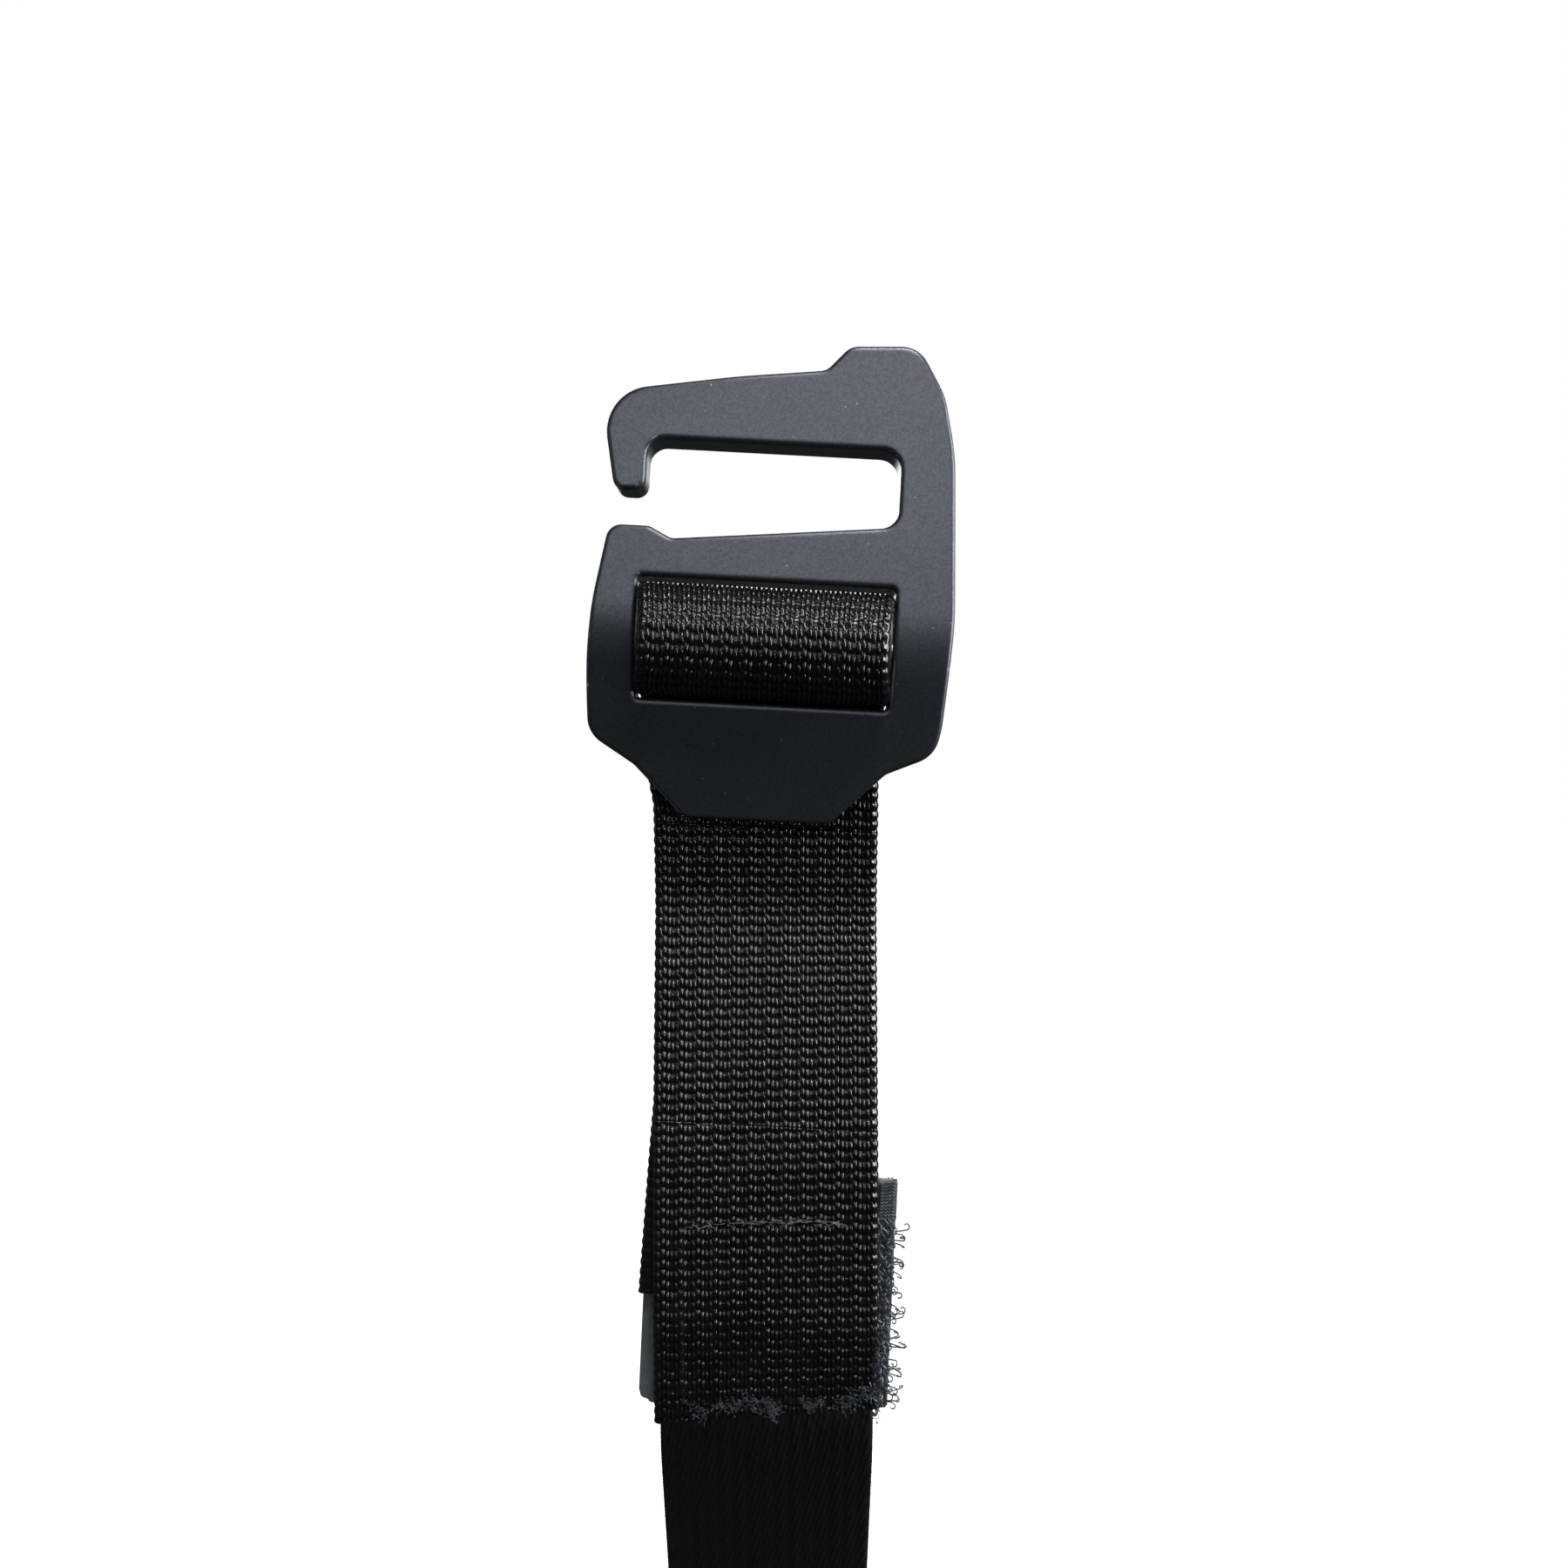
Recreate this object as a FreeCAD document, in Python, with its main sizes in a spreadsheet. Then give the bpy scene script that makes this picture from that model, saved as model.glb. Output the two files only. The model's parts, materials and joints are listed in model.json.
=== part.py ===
"""Hook-and-band tourniquet: a bent aluminium G-hook on a webbing tail that hook tape holds to a band.

Millimetres. X runs across the strap, +Y goes away from the hook's front, +Z goes up along the hanging strap.
The origin is where the hook's arm rests on the thing that it hangs from.
Everything is drawn about the centre of the roller's axle, which hangs straight below the origin.
"""
import FreeCAD, Part
import math
import os

Vector = FreeCAD.Vector

# ---------------------------------------------------------------- driving dimensions
SIZES = [
    ("webbing_wide", 25.0, "width of the adjuster webbing"),
    ("webbing_thick", 1.3, "thickness of the adjuster webbing"),
    ("axle_radius", 1.0, "radius of the steel axle pin"),
    ("axle_gap", 0.05, "radial running gap round the axle pin"),
    ("axle_socket", 3.0, "depth of the blind bore in the right rail"),
    ("axle_chamfer", 0.2, "chamfer at each end of the axle pin"),
    ("roller_radius", 4.35, "outer radius of the roller"),
    ("roller_end_gap", 0.4, "gap between the roller and each side of the window"),
    ("roll_gap", 0.1, "gap between the roller and the webbing round it"),
    ("plate_thick", 4.0, "thickness of the hook plate"),
    ("plate_round", 0.5, "rounding of the plate's edges"),
    ("plate_bend", 17.0, "angle by which the tongue leans back, degrees"),
    ("bend_radius", 18.0, "radius of the plate's bend at mid thickness"),
    ("bend_start", 3.3, "height above the axle where the bend begins"),
    ("hook_lean", 3.0, "sideways lean of the hook as it hangs, degrees"),
    ("window_side_gap", 0.6, "gap between the webbing's edge and the window's side"),
    ("window_top_gap", 0.35, "gap between the rolled webbing and the window's top"),
    ("window_drop", 0.3, "window's lower edge below the rolled webbing"),
    ("window_round", 0.6, "rounding of the window's corners"),
    ("rail_left", 5.0, "width of the plate left of the window"),
    ("rail_right", 6.1, "width of the plate right of the window"),
    ("bridge_left", 3.95, "height of the bridge above the window, at the mouth"),
    ("bridge_right", 6.2, "height of the bridge above the window, at the spine"),
    ("throat_tall", 7.7, "height of the hook's throat at the spine"),
    ("lip_tall", 1.15, "height of the lip at the bridge's end"),
    ("mouth_tall", 3.5, "opening between the hook's tip and the lip"),
    ("tip_wide", 3.15, "width of the hook's tip"),
    ("arm_left", 4.5, "height of the arm at its free end"),
    ("arm_right", 7.8, "height of the arm beside the knob"),
    ("knob_tall", 10.7, "height of the knob above the throat"),
    ("spine_inset", 0.15, "how far the throat's end is left of the window's right side"),
    ("tip_inset", 0.3, "how far the tip's right side is right of the window's left side"),
    ("tongue_wide", 15.5, "width of the tongue's lower edge"),
    ("tongue_drop", 12.2, "tongue's lower edge below the window's lower edge"),
    ("tongue_slant", 5.3, "height of the tongue's slanted sides"),
    ("strap_gap", 0.3, "gap between the plate's back and the webbing"),
    ("ply_gap", 0.3, "gap between two layers of fabric"),
    ("front_leave", 89.0, "angle round the roller where the front ply leaves it, degrees"),
    ("rear_leave", 11.7, "angle round the roller where the rear ply leaves it, degrees"),
    ("rear_touch", 2.6749, "where the rear ply begins to follow the plate's back, below the axle"),
    ("rear_ease", 0.5, "where the rear ply begins to turn to the plate, as a share of the way to it"),
    ("ply_bend", 12.0, "radius of a ply's bends against the plate"),
    ("tongue_clear", 0.6, "how far below the tongue the plies bend away"),
    ("sag_back", 10.75, "front ply's mid plane behind the axle, below the tongue"),
    ("strap_back", 8.25, "front ply's mid plane behind the axle, at the patch"),
    ("sag_drop", 28.0, "depth of the sag below the tongue, below the axle"),
    ("sag_bend", 18.0, "radius of the plies' bend at the sag"),
    ("settle_gap", 0.6, "how far above the band's end the plies come to hang upright"),
    ("settle_bend", 60.0, "radius of the plies' bend where they come to hang upright"),
    ("front_ply_drop", 85.6, "front ply's end below the axle"),
    ("front_ply_flare", 1.65, "how far the front ply's end stands back"),
    ("flare_gap", 2.4, "where the front ply starts to stand back, below the rear ply's end"),
    ("flare_bend", 14.0, "radius of the front ply's bend where it starts to stand back"),
    ("cut_spare", 2.0, "length that the slanted cut takes off the front ply"),
    ("rear_ply_drop", 71.6, "rear ply's end below the axle"),
    ("end_slant", 0.95, "rise and fall of the cut at the front ply's end"),
    ("hook_tape_wide", 29.1, "width of the hook tape patch"),
    ("hook_tape_tall", 26.2, "height of the hook tape patch"),
    ("hook_tape_thick", 1.9, "thickness of the hook tape, hooks included"),
    ("hook_tape_round", 1.0, "rounding of the hook tape's corners"),
    ("patch_drop", 71.0, "middle of both tape patches below the axle"),
    ("tape_gap", 0.3, "gap left between the hooks and the pile"),
    ("loop_tape_tall", 26.0, "height of the loop tape patch"),
    ("loop_tape_thick", 1.7, "thickness of the loop tape, pile included"),
    ("loop_tape_round", 0.6, "rounding of the loop tape's corners"),
    ("band_wide", 25.0, "width of the band"),
    ("band_thick", 1.2, "thickness of the band"),
    ("band_top", 57.0, "band's upper end below the axle"),
    ("band_fall", 23.0, "angle at which the band falls away below the patch, degrees"),
    ("band_fall_drop", 91.0, "where the band starts to fall away, below the axle"),
    ("band_fall_depth", 10.7, "how far the band falls back"),
    ("band_fall_bend", 20.0, "radius of the band's bend where it starts to fall away"),
    ("band_hang_bend", 30.0, "radius of the band's bend where it comes to hang upright"),
    ("band_nose", 0.54, "rounding of a stretch of band at its ends"),
    ("flex_one_run", 5.85, "first flexing line, along the band from where it falls away"),
    ("flex_two_drop", 165.0, "second flexing line below the axle"),
    ("flex_three_drop", 240.0, "third flexing line below the axle"),
    ("flex_gap", 0.5, "gap between two stretches of band at a flexing line"),
    ("end_loop_drop", 319.7, "bottom of the end loop below the axle"),
    ("end_loop_tall", 26.5, "height of the open part of the end loop"),
    ("end_loop_open", 6.4, "clear width of the end loop"),
    ("end_loop_lap", 18.0, "length of the sewn overlap above the end loop"),
    ("end_loop_taper", 9.12, "height over which the end loop opens below its overlap"),
    ("end_loop_bend", 8.0, "radius of the bends where the end loop opens"),
    ("end_loop_ease", 0.05, "how much tighter the loop's lower bends are than half its width"),
    ("thread_line", 0.8, "width of a row of stitches"),
    ("thread_proud", 0.2, "height of a row of stitches above the fabric"),
    ("box_stitch_wide", 18.1, "width of the stitched box on the front ply"),
    ("box_stitch_tall", 19.9, "height of the stitched box on the front ply"),
    ("box_stitch_drop", 73.1, "middle of the stitched box below the axle"),
    ("box_stitch_round", 1.3, "rounding of the stitched box's corners"),
    ("seam_inset", 1.6, "distance of the loop tape's seam from its edge"),
    ("seam_round", 1.5, "rounding of the seam's corners"),
    ("tack_wide", 19.0, "width of a bar tack"),
    ("tack_tall", 1.8, "height of a bar tack"),
]
# The hook's corners, clockwise from its arm's free end: the upright line that each is measured from
# and how far right of it, the level line and how far above it, and the rounding.
HOOK_CORNERS = [
    ("arm_end", "left_side", 0.3, "arm_end", 0.0, 4.6),
    ("arm_bow", "middle", -4.0, "arm_middle", 0.6, 60.0),
    ("arm_root", "middle", 4.9, "arm_root", 0.0, 1.6),
    ("knob_left", "middle", 7.2, "knob", -0.35, 2.0),
    ("knob_right", "middle", 14.1, "knob", 0.0, 3.0),
    ("spine_top", "right_side", -2.2, "throat_roof", 5.9, 8.0),
    ("spine_throat", "right_side", -0.85, "throat_roof", 0.0, 25.0),
    ("spine_full", "right_side", 0.0, "axle", 3.3, 50.0),
    ("right_rail", "right_side", -0.4, "window_low", -1.5, 10.0),
    ("right_foot", "right_side", -0.9, "slant_top", 2.5, 3.2),
    ("right_shoulder", "shoulder_right", 0.3, "slant_top", 0.3, 1.8),
    ("tongue_right", "tongue_right", 0.0, "tongue_end", 0.0, 1.8),
    ("tongue_left", "tongue_left", 0.0, "tongue_end", 0.0, 1.8),
    ("left_shoulder", "shoulder_left", 0.0, "slant_top", 0.0, 1.8),
    ("left_foot", "left_side", 0.2, "slant_top", 3.0, 3.0),
    ("left_full", "left_side", 0.0, "axle", -3.0, 60.0),
    ("left_rail", "left_side", 0.5, "axle", 3.6, 40.0),
    ("lip_outer", "left_side", 1.8, "lip", 0.0, 1.6),
    ("lip_inner", "tip_right", 0.6, "lip", 0.0, 1.2),
    ("lip_foot", "tip_right", 2.9, "bridge_end", 0.0, 1.4),
    ("throat_low", "spine", 0.0, "bridge_root", 0.0, 1.9),
    ("throat_high", "spine", 0.0, "throat_roof", 0.0, 2.0),
    ("tip_root", "tip_right", 0.0, "throat_roof", 0.0, 1.8),
    ("tip_inner", "tip_right", 0.0, "tip_end", 0.0, 1.3),
    ("tip_outer", "tip_left", 0.0, "tip_end", 0.0, 1.3),
]
for corner, _, right, _, up, rounding in HOOK_CORNERS:
    SIZES.append((f"{corner}_right", right, "hook corner, right of its upright line"))
    SIZES.append((f"{corner}_up", up, "hook corner, above its level line"))
    SIZES.append((f"{corner}_round", rounding, "rounding of that hook corner"))

TACKS = 3                # bar tacks across the end loop's overlap
ROLL_ARCS = 4            # equal arcs that the webbing's turn round the roller is drawn with
STOCK = 120.0            # length that every trimmed strip and cutter is pushed through
SPARE = 15.0             # how far a trimmed strip or cutter reaches past what it makes
TINY = 1e-4              # turns and runs below this are left out
LEVEL = 0.01             # a wall's normal has no larger part along Y

doc = FreeCAD.newDocument("hook_band_tourniquet")
sheet = doc.addObject("Spreadsheet::Sheet", "Sizes")
for row, (alias, value, meaning) in enumerate(SIZES, start=1):
    sheet.set(f"A{row}", meaning)
    sheet.set(f"B{row}", str(value))
    sheet.setAlias(f"B{row}", alias)
doc.recompute()


def size(alias):
    """Value of one cell, in millimetres or degrees."""
    return float(sheet.get(alias))


# ---------------------------------------------------------------- outlines made of straight runs and arcs
def unit(a, b):
    """Unit vector from point a to point b."""
    length = math.hypot(b[0] - a[0], b[1] - a[1])
    return ((b[0] - a[0]) / length, (b[1] - a[1]) / length)


def turn_of(u, w):
    """Signed turn from one direction to the next, in radians, positive to the left."""
    return math.atan2(u[0] * w[1] - u[1] * w[0], u[0] * w[0] + u[1] * w[1])


def outline_face(corners, place):
    """A face from corners (a, b, radius), each rounded by an arc; place(a, b) puts a point in space."""
    count = len(corners)
    stations = []
    for i, (a, b, radius) in enumerate(corners):
        arriving = unit(corners[i - 1][:2], (a, b))
        leaving = unit((a, b), corners[(i + 1) % count][:2])
        angle = turn_of(arriving, leaving)
        if radius <= 0 or abs(angle) < TINY:
            stations.append(((a, b), None, (a, b)))
            continue
        reach = radius * math.tan(abs(angle) / 2)
        depth = radius / math.cos(angle / 2) - radius
        inward = unit((0, 0), (leaving[0] - arriving[0], leaving[1] - arriving[1]))
        start = (a - arriving[0] * reach, b - arriving[1] * reach)
        middle = (a + inward[0] * depth, b + inward[1] * depth)
        stop = (a + leaving[0] * reach, b + leaving[1] * reach)
        stations.append((start, middle, stop))
    edges = []
    for i, (start, middle, stop) in enumerate(stations):
        if middle:
            edges.append(Part.Arc(place(*start), place(*middle), place(*stop)).toShape())
        following = stations[(i + 1) % count][0]
        if math.dist(stop, following) > TINY:
            edges.append(Part.LineSegment(place(*stop), place(*following)).toShape())
    return Part.Face(Part.Wire(edges))


def across(a, b):
    """A point of an outline drawn across (X) and up (Z)."""
    return Vector(a, 0, b)


def sideways(a, b):
    """A point of a section drawn back (Y) and up (Z)."""
    return Vector(0, a, b)


def beside(path, distance):
    """The corners of a path moved sideways; positive is to the left of its direction."""
    moved = []
    last = len(path) - 1
    for i, (a, b, radius) in enumerate(path):
        arriving = unit(path[max(i - 1, 0)][:2], path[max(i, 1)][:2])
        leaving = unit(path[min(i, last - 1)][:2], path[min(i + 1, last)][:2])
        half = (arriving[0] + leaving[0], arriving[1] + leaving[1])
        scale = 2 * distance / (half[0] ** 2 + half[1] ** 2)
        side = 1 if turn_of(arriving, leaving) > 0 else -1
        grown = radius - side * distance if radius else 0.0
        moved.append((a - half[1] * scale, b + half[0] * scale, grown))
    return moved


def ribbon_face(path, low, high, nose=0.0):
    """Section of a layer of fabric: the strip between two distances beside its path; nose rounds its ends."""
    one, other = beside(path, low), beside(path, high)
    for side in (one, other):
        for end in (0, -1):
            side[end] = (*side[end][:2], nose)
    return outline_face(one + other[::-1], sideways)


def rectangle(left, right, bottom, top, radius=0.0):
    """Corners of an upright rectangle."""
    return [(left, bottom, radius), (right, bottom, radius), (right, top, radius), (left, top, radius)]


# ---------------------------------------------------------------- document helpers
sub_parts = []


def drawn(name, shape):
    """A drawn face that other features are made from."""
    thing = doc.addObject("Part::Feature", name)
    thing.Shape = shape
    return thing


def extruded(name, face, way, length):
    """A drawn face pushed both ways along an axis; length is a cell's name or a stock length."""
    thing = doc.addObject("Part::Extrusion", name)
    thing.Base = drawn(f"{name}_face", face)
    thing.DirMode, thing.Dir = "Custom", way
    thing.Symmetric, thing.Solid = True, True
    if isinstance(length, str):
        thing.setExpression("LengthFwd", f"Sizes.{length}")
    else:
        thing.LengthFwd = length
    return thing


def combined(kind, name, base, tool):
    """A Part::Cut or Part::Common of two objects."""
    thing = doc.addObject(f"Part::{kind}", name)
    thing.Base, thing.Tool = base, tool
    return thing


def finished(thing, label, leaned=False):
    """Names a finished sub-part and hangs it below the origin; a leaned one turns with the hook."""
    thing.Label = label
    turn = FreeCAD.Rotation(Vector(0, 1, 0), size("hook_lean") if leaned else 0.0)
    thing.Placement = FreeCAD.Placement(Vector(0, 0, -axle_drop), turn)
    sub_parts.append(thing)


def lying(start):
    """Placement that lays a cylinder along the axle, from start to the right."""
    return FreeCAD.Placement(Vector(start, 0, 0), FreeCAD.Rotation(Vector(0, 1, 0), 90))


# ---------------------------------------------------------------- places worked out from the sizes
lean = math.radians(size("hook_lean"))
bend = math.radians(size("plate_bend"))
window_half = size("webbing_wide") / 2 + size("window_side_gap")
webbing_half = size("webbing_thick") / 2
roll_mid = size("roller_radius") + size("roll_gap") + webbing_half
window_top = roll_mid + webbing_half + size("window_top_gap")
window_low = -roll_mid - webbing_half - size("window_drop")
tongue_end = window_low - size("tongue_drop")
throat_roof = window_top + size("bridge_right") + size("throat_tall")
axle_drop = throat_roof / math.cos(lean)
along_axle = Vector(math.cos(lean), 0, -math.sin(lean))
left_side = -window_half - size("rail_left")
right_side = window_half + size("rail_right")
bend_corner = size("bend_start") - size("bend_radius") * math.tan(bend / 2)
ply_distance = size("plate_thick") / 2 + size("strap_gap") + webbing_half
ply_pitch = size("webbing_thick") + size("ply_gap")
tape_front = size("strap_back") + ply_pitch + webbing_half + size("ply_gap")
loop_front = tape_front + size("hook_tape_thick") + size("tape_gap")
band_front = loop_front + size("loop_tape_thick")
band_half = size("band_thick") / 2
band_upper = band_front + band_half
band_lower = band_upper + size("band_fall_depth")


def behind_plate(z, distance):
    """Y of the line that runs a distance behind the tongue's mid plane, at a height z."""
    return (bend_corner - z) * math.tan(bend) + distance / math.cos(bend)


# ---------------------------------------------------------------- hook plate, axle and roller
def hook_outline():
    """The plate's front outline, clockwise from the arm's free end, about the axle."""
    tongue = size("tongue_wide") / 2
    shoulder = tongue + size("tongue_slant")
    tip_right = size("tip_inset") - window_half
    arm_end = throat_roof + size("arm_left")
    arm_root = throat_roof + size("arm_right")
    bridge_end = window_top + size("bridge_left")
    lip = bridge_end + size("lip_tall")
    upright = {
        "middle": 0.0, "left_side": left_side, "right_side": right_side,
        "spine": window_half - size("spine_inset"),
        "tip_right": tip_right, "tip_left": tip_right - size("tip_wide"),
        "tongue_left": -tongue, "tongue_right": tongue,
        "shoulder_left": -shoulder, "shoulder_right": shoulder,
    }
    level = {
        "axle": 0.0, "window_low": window_low, "throat_roof": throat_roof,
        "knob": throat_roof + size("knob_tall"),
        "arm_end": arm_end, "arm_root": arm_root, "arm_middle": (arm_end + arm_root) / 2,
        "bridge_end": bridge_end, "bridge_root": window_top + size("bridge_right"),
        "lip": lip, "tip_end": lip + size("mouth_tall"),
        "tongue_end": tongue_end, "slant_top": tongue_end + size("tongue_slant"),
    }
    outline = []
    for corner, side, _, height, _, _ in HOOK_CORNERS:
        a = upright[side] + size(f"{corner}_right")
        b = level[height] + size(f"{corner}_up")
        outline.append((a, b, size(f"{corner}_round")))
    return outline


def plate_path():
    """The plate's mid line seen from the side, upwards: the tongue, the bend, then straight."""
    low = tongue_end - SPARE
    high = throat_roof + size("knob_tall") + SPARE
    return [(behind_plate(low, 0.0), low, 0.0), (0.0, bend_corner, size("bend_radius")), (0.0, high, 0.0)]


def rim_edges(shape):
    """Numbers of the edges between the plate's broad faces and its walls."""
    found = []
    for number, edge in enumerate(shape.Edges, start=1):
        walls = 0
        for face in shape.ancestorsOfType(edge, Part.Face):
            u0, u1, v0, v1 = face.ParameterRange
            walls += abs(face.normalAt((u0 + u1) / 2, (v0 + v1) / 2).y) < LEVEL
        if walls == 1:
            found.append(number)
    return found


def make_hook():
    """Bent plate with its window, rounded edges and the bores that hold the axle."""
    half = size("plate_thick") / 2
    slab = extruded("plate_slab", ribbon_face(plate_path(), -half, half), Vector(1, 0, 0), STOCK)
    outline = extruded("plate_outline", outline_face(hook_outline(), across), Vector(0, 1, 0), STOCK)
    corners = rectangle(-window_half, window_half, window_low, window_top, size("window_round"))
    opening = extruded("window_opening", outline_face(corners, across), Vector(0, 1, 0), STOCK)
    blank = combined("Common", "plate_blank", slab, outline)
    pierced = combined("Cut", "plate_pierced", blank, opening)
    doc.recompute()
    rounded = doc.addObject("Part::Fillet", "plate_rounded")
    rounded.Base = pierced
    rounded.Edges = [(i, size("plate_round"), size("plate_round")) for i in rim_edges(pierced.Shape)]
    bore = doc.addObject("Part::Cylinder", "axle_bore")
    bore.setExpression("Radius", "Sizes.axle_radius + Sizes.axle_gap")
    start = left_side - size("rail_left")
    bore.Height = window_half + size("axle_socket") - start
    bore.Placement = lying(start)
    finished(combined("Cut", "hook_plate", rounded, bore), "g_hook", leaned=True)


def make_axle():
    """Steel pin across the window; its left end stops inside the rail's outer rounding."""
    pin = doc.addObject("Part::Cylinder", "axle_stock")
    pin.setExpression("Radius", "Sizes.axle_radius")
    start = left_side + size("plate_round")
    pin.Height = window_half + size("axle_socket") - 2 * size("axle_gap") - start
    pin.Placement = lying(start)
    doc.recompute()
    eased = doc.addObject("Part::Chamfer", "axle_eased")
    eased.Base = pin
    rims = [i for i, edge in enumerate(pin.Shape.Edges, start=1) if edge.Closed and len(edge.Vertexes) == 1]
    eased.Edges = [(i, size("axle_chamfer"), size("axle_chamfer")) for i in rims]
    finished(eased, "axle_pin", leaned=True)


def make_roller():
    """Sleeve that turns on the axle inside the fold of webbing."""
    long = "Sizes.webbing_wide + 2 * (Sizes.window_side_gap - Sizes.roller_end_gap)"
    tubes = []
    for name, radius in (("outer", "Sizes.roller_radius"), ("bore", "Sizes.axle_radius + Sizes.axle_gap")):
        tube = doc.addObject("Part::Cylinder", f"roller_{name}")
        tube.setExpression("Radius", radius)
        tube.setExpression("Height", long)
        tube.Placement = lying(size("roller_end_gap") - window_half)
        tubes.append(tube)
    finished(combined("Cut", "roller_sleeve", *tubes), "roller", leaned=True)


# ---------------------------------------------------------------- webbing tail
def hanging_run(lap):
    """The free stretch of a ply from the tongue's end to the patch, lap behind the front ply."""
    below = tongue_end - size("tongue_clear")
    return [
        (behind_plate(below, ply_distance + lap), below, size("ply_bend")),
        (size("sag_back") + lap, -size("sag_drop"), size("sag_bend")),
        (size("strap_back") + lap, size("settle_gap") - size("band_top"), size("settle_bend")),
    ]


def front_ply():
    """The front ply's mid line, from its lower end up to where it leaves the roller."""
    angle = math.radians(size("front_leave"))
    leave = (-roll_mid * math.cos(angle), -roll_mid * math.sin(angle))
    slope = 1 / math.tan(angle)
    edge_back = behind_plate(leave[1] + leave[0] * slope, ply_distance) / (1 - slope * math.tan(bend))
    edge = (edge_back, leave[1] - (edge_back - leave[0]) * slope, webbing_half + size("axle_radius"))
    lower = [
        (size("strap_back") + size("front_ply_flare"), -size("front_ply_drop") - size("cut_spare"), 0.0),
        (size("strap_back"), -size("rear_ply_drop") - size("flare_gap"), size("flare_bend")),
    ]
    return lower + hanging_run(0.0)[::-1] + [edge], leave


def roll_turn(leave):
    """The corners of the path that wraps the roller, from the front ply's leaving point to its back."""
    start = math.atan2(leave[1], leave[0])
    turn = (2 * math.pi + start - math.radians(size("rear_leave"))) % (2 * math.pi)
    share = turn / ROLL_ARCS
    reach = roll_mid / math.cos(share / 2)
    middles = [start - share * (i + 0.5) for i in range(ROLL_ARCS)]
    return [(reach * math.cos(a), reach * math.sin(a), roll_mid) for a in middles]


def rear_turn():
    """The rear ply's way from the roller to the plate's back: straight off the roller, then to the plate."""
    angle = math.radians(size("rear_leave"))
    leave = (roll_mid * math.cos(angle), roll_mid * math.sin(angle))
    touch = (behind_plate(-size("rear_touch"), ply_distance + ply_pitch), -size("rear_touch"))
    run = size("rear_ease") * (leave[1] - touch[1]) / math.cos(angle)
    eased = (leave[0] + run * math.sin(angle), leave[1] - run * math.cos(angle))
    radii = []
    for before, here, after in ((leave, eased, touch), (eased, touch, hanging_run(ply_pitch)[0])):
        bent = abs(turn_of(unit(before, here), unit(here, after[:2])))
        room = math.dist(eased, touch) / 2 - webbing_half * math.tan(bent / 2)
        radii.append(min(size("ply_bend"), room / max(math.tan(bent / 2), TINY)))
    return [(*eased, radii[0]), (*touch, radii[1])]


def make_webbing():
    """One length of webbing: front ply, roll and rear ply; its fold lies along the axle."""
    front, leave = front_ply()
    rear_end = (size("strap_back") + ply_pitch, -size("rear_ply_drop"), 0.0)
    path = front + roll_turn(leave) + rear_turn() + hanging_run(ply_pitch) + [rear_end]
    section = ribbon_face(path, -webbing_half, webbing_half)
    strip = extruded("webbing_strip", section, along_axle, STOCK)
    edge = size("webbing_wide") / 2
    low, slant = -size("front_ply_drop"), size("end_slant")
    corners = [(-edge, low - slant, 0), (edge, low + slant, 0), (edge, SPARE, 0), (-edge, SPARE, 0)]
    trim = extruded("webbing_trim", outline_face(corners, across), Vector(0, 1, 0), STOCK)
    finished(combined("Common", "webbing", strip, trim), "adjuster_webbing")


# ---------------------------------------------------------------- flat pieces drawn by their front outline
def slab_between(name, outline, near, far):
    """A flat piece between two depths, from its front outline."""
    plate = doc.addObject("Part::Extrusion", name)
    plate.Base = drawn(f"{name}_face", outline_face(outline, across))
    plate.DirMode, plate.Dir, plate.Solid = "Custom", Vector(0, 1, 0), True
    plate.LengthFwd = far - near
    plate.Base.Placement = FreeCAD.Placement(Vector(0, near, 0), FreeCAD.Rotation())
    return plate


def tape_outline(wide, tall, radius):
    """Front outline of a tape patch, centred at the patch height."""
    middle = -size("patch_drop")
    return rectangle(-wide / 2, wide / 2, middle - tall / 2, middle + tall / 2, radius)


def ring(name, solid, outline, inner):
    """A piece cut down to the line between two outlines."""
    kept = extruded(f"{name}_outer", outline_face(outline, across), Vector(0, 1, 0), STOCK)
    gone = extruded(f"{name}_inner", outline_face(inner, across), Vector(0, 1, 0), STOCK)
    return combined("Cut", f"{name}_line", combined("Common", f"{name}_trimmed", solid, kept), gone)


def make_tapes():
    """Hook tape behind the plies, loop tape on the band, and the row of thread that holds it."""
    outline = tape_outline(size("hook_tape_wide"), size("hook_tape_tall"), size("hook_tape_round"))
    hook_tape = slab_between("hook_tape", outline, tape_front, tape_front + size("hook_tape_thick"))
    finished(hook_tape, "hook_patch")
    wide, tall = size("band_wide"), size("loop_tape_tall")
    outline = tape_outline(wide, tall, size("loop_tape_round"))
    finished(slab_between("loop_tape", outline, loop_front, band_front), "loop_patch")
    thread = slab_between("seam_thread", outline, loop_front - size("thread_proud") / 2, loop_front)
    line, inset = size("thread_line"), 2 * size("seam_inset")
    outer = tape_outline(wide - inset, tall - inset, size("seam_round"))
    inner = tape_outline(wide - inset - 2 * line, tall - inset - 2 * line, size("seam_round") - line)
    finished(ring("seam", thread, outer, inner), "loop_patch_stitch")


def make_box_stitch():
    """Box of thread on the front ply's face, following the flare of its end."""
    path = front_ply()[0]
    face = ribbon_face(path[:3], webbing_half, webbing_half + size("thread_proud"))
    layer = extruded("box_thread", face, along_axle, STOCK)
    wide, tall, line = size("box_stitch_wide") / 2, size("box_stitch_tall") / 2, size("thread_line")
    middle = -size("box_stitch_drop")
    rounding = size("box_stitch_round")
    outer = rectangle(-wide, wide, middle - tall, middle + tall, rounding)
    wide, tall = wide - line, tall - line
    inner = rectangle(-wide, wide, middle - tall, middle + tall, rounding - line)
    finished(ring("box", layer, outer, inner), "box_stitch")


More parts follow.
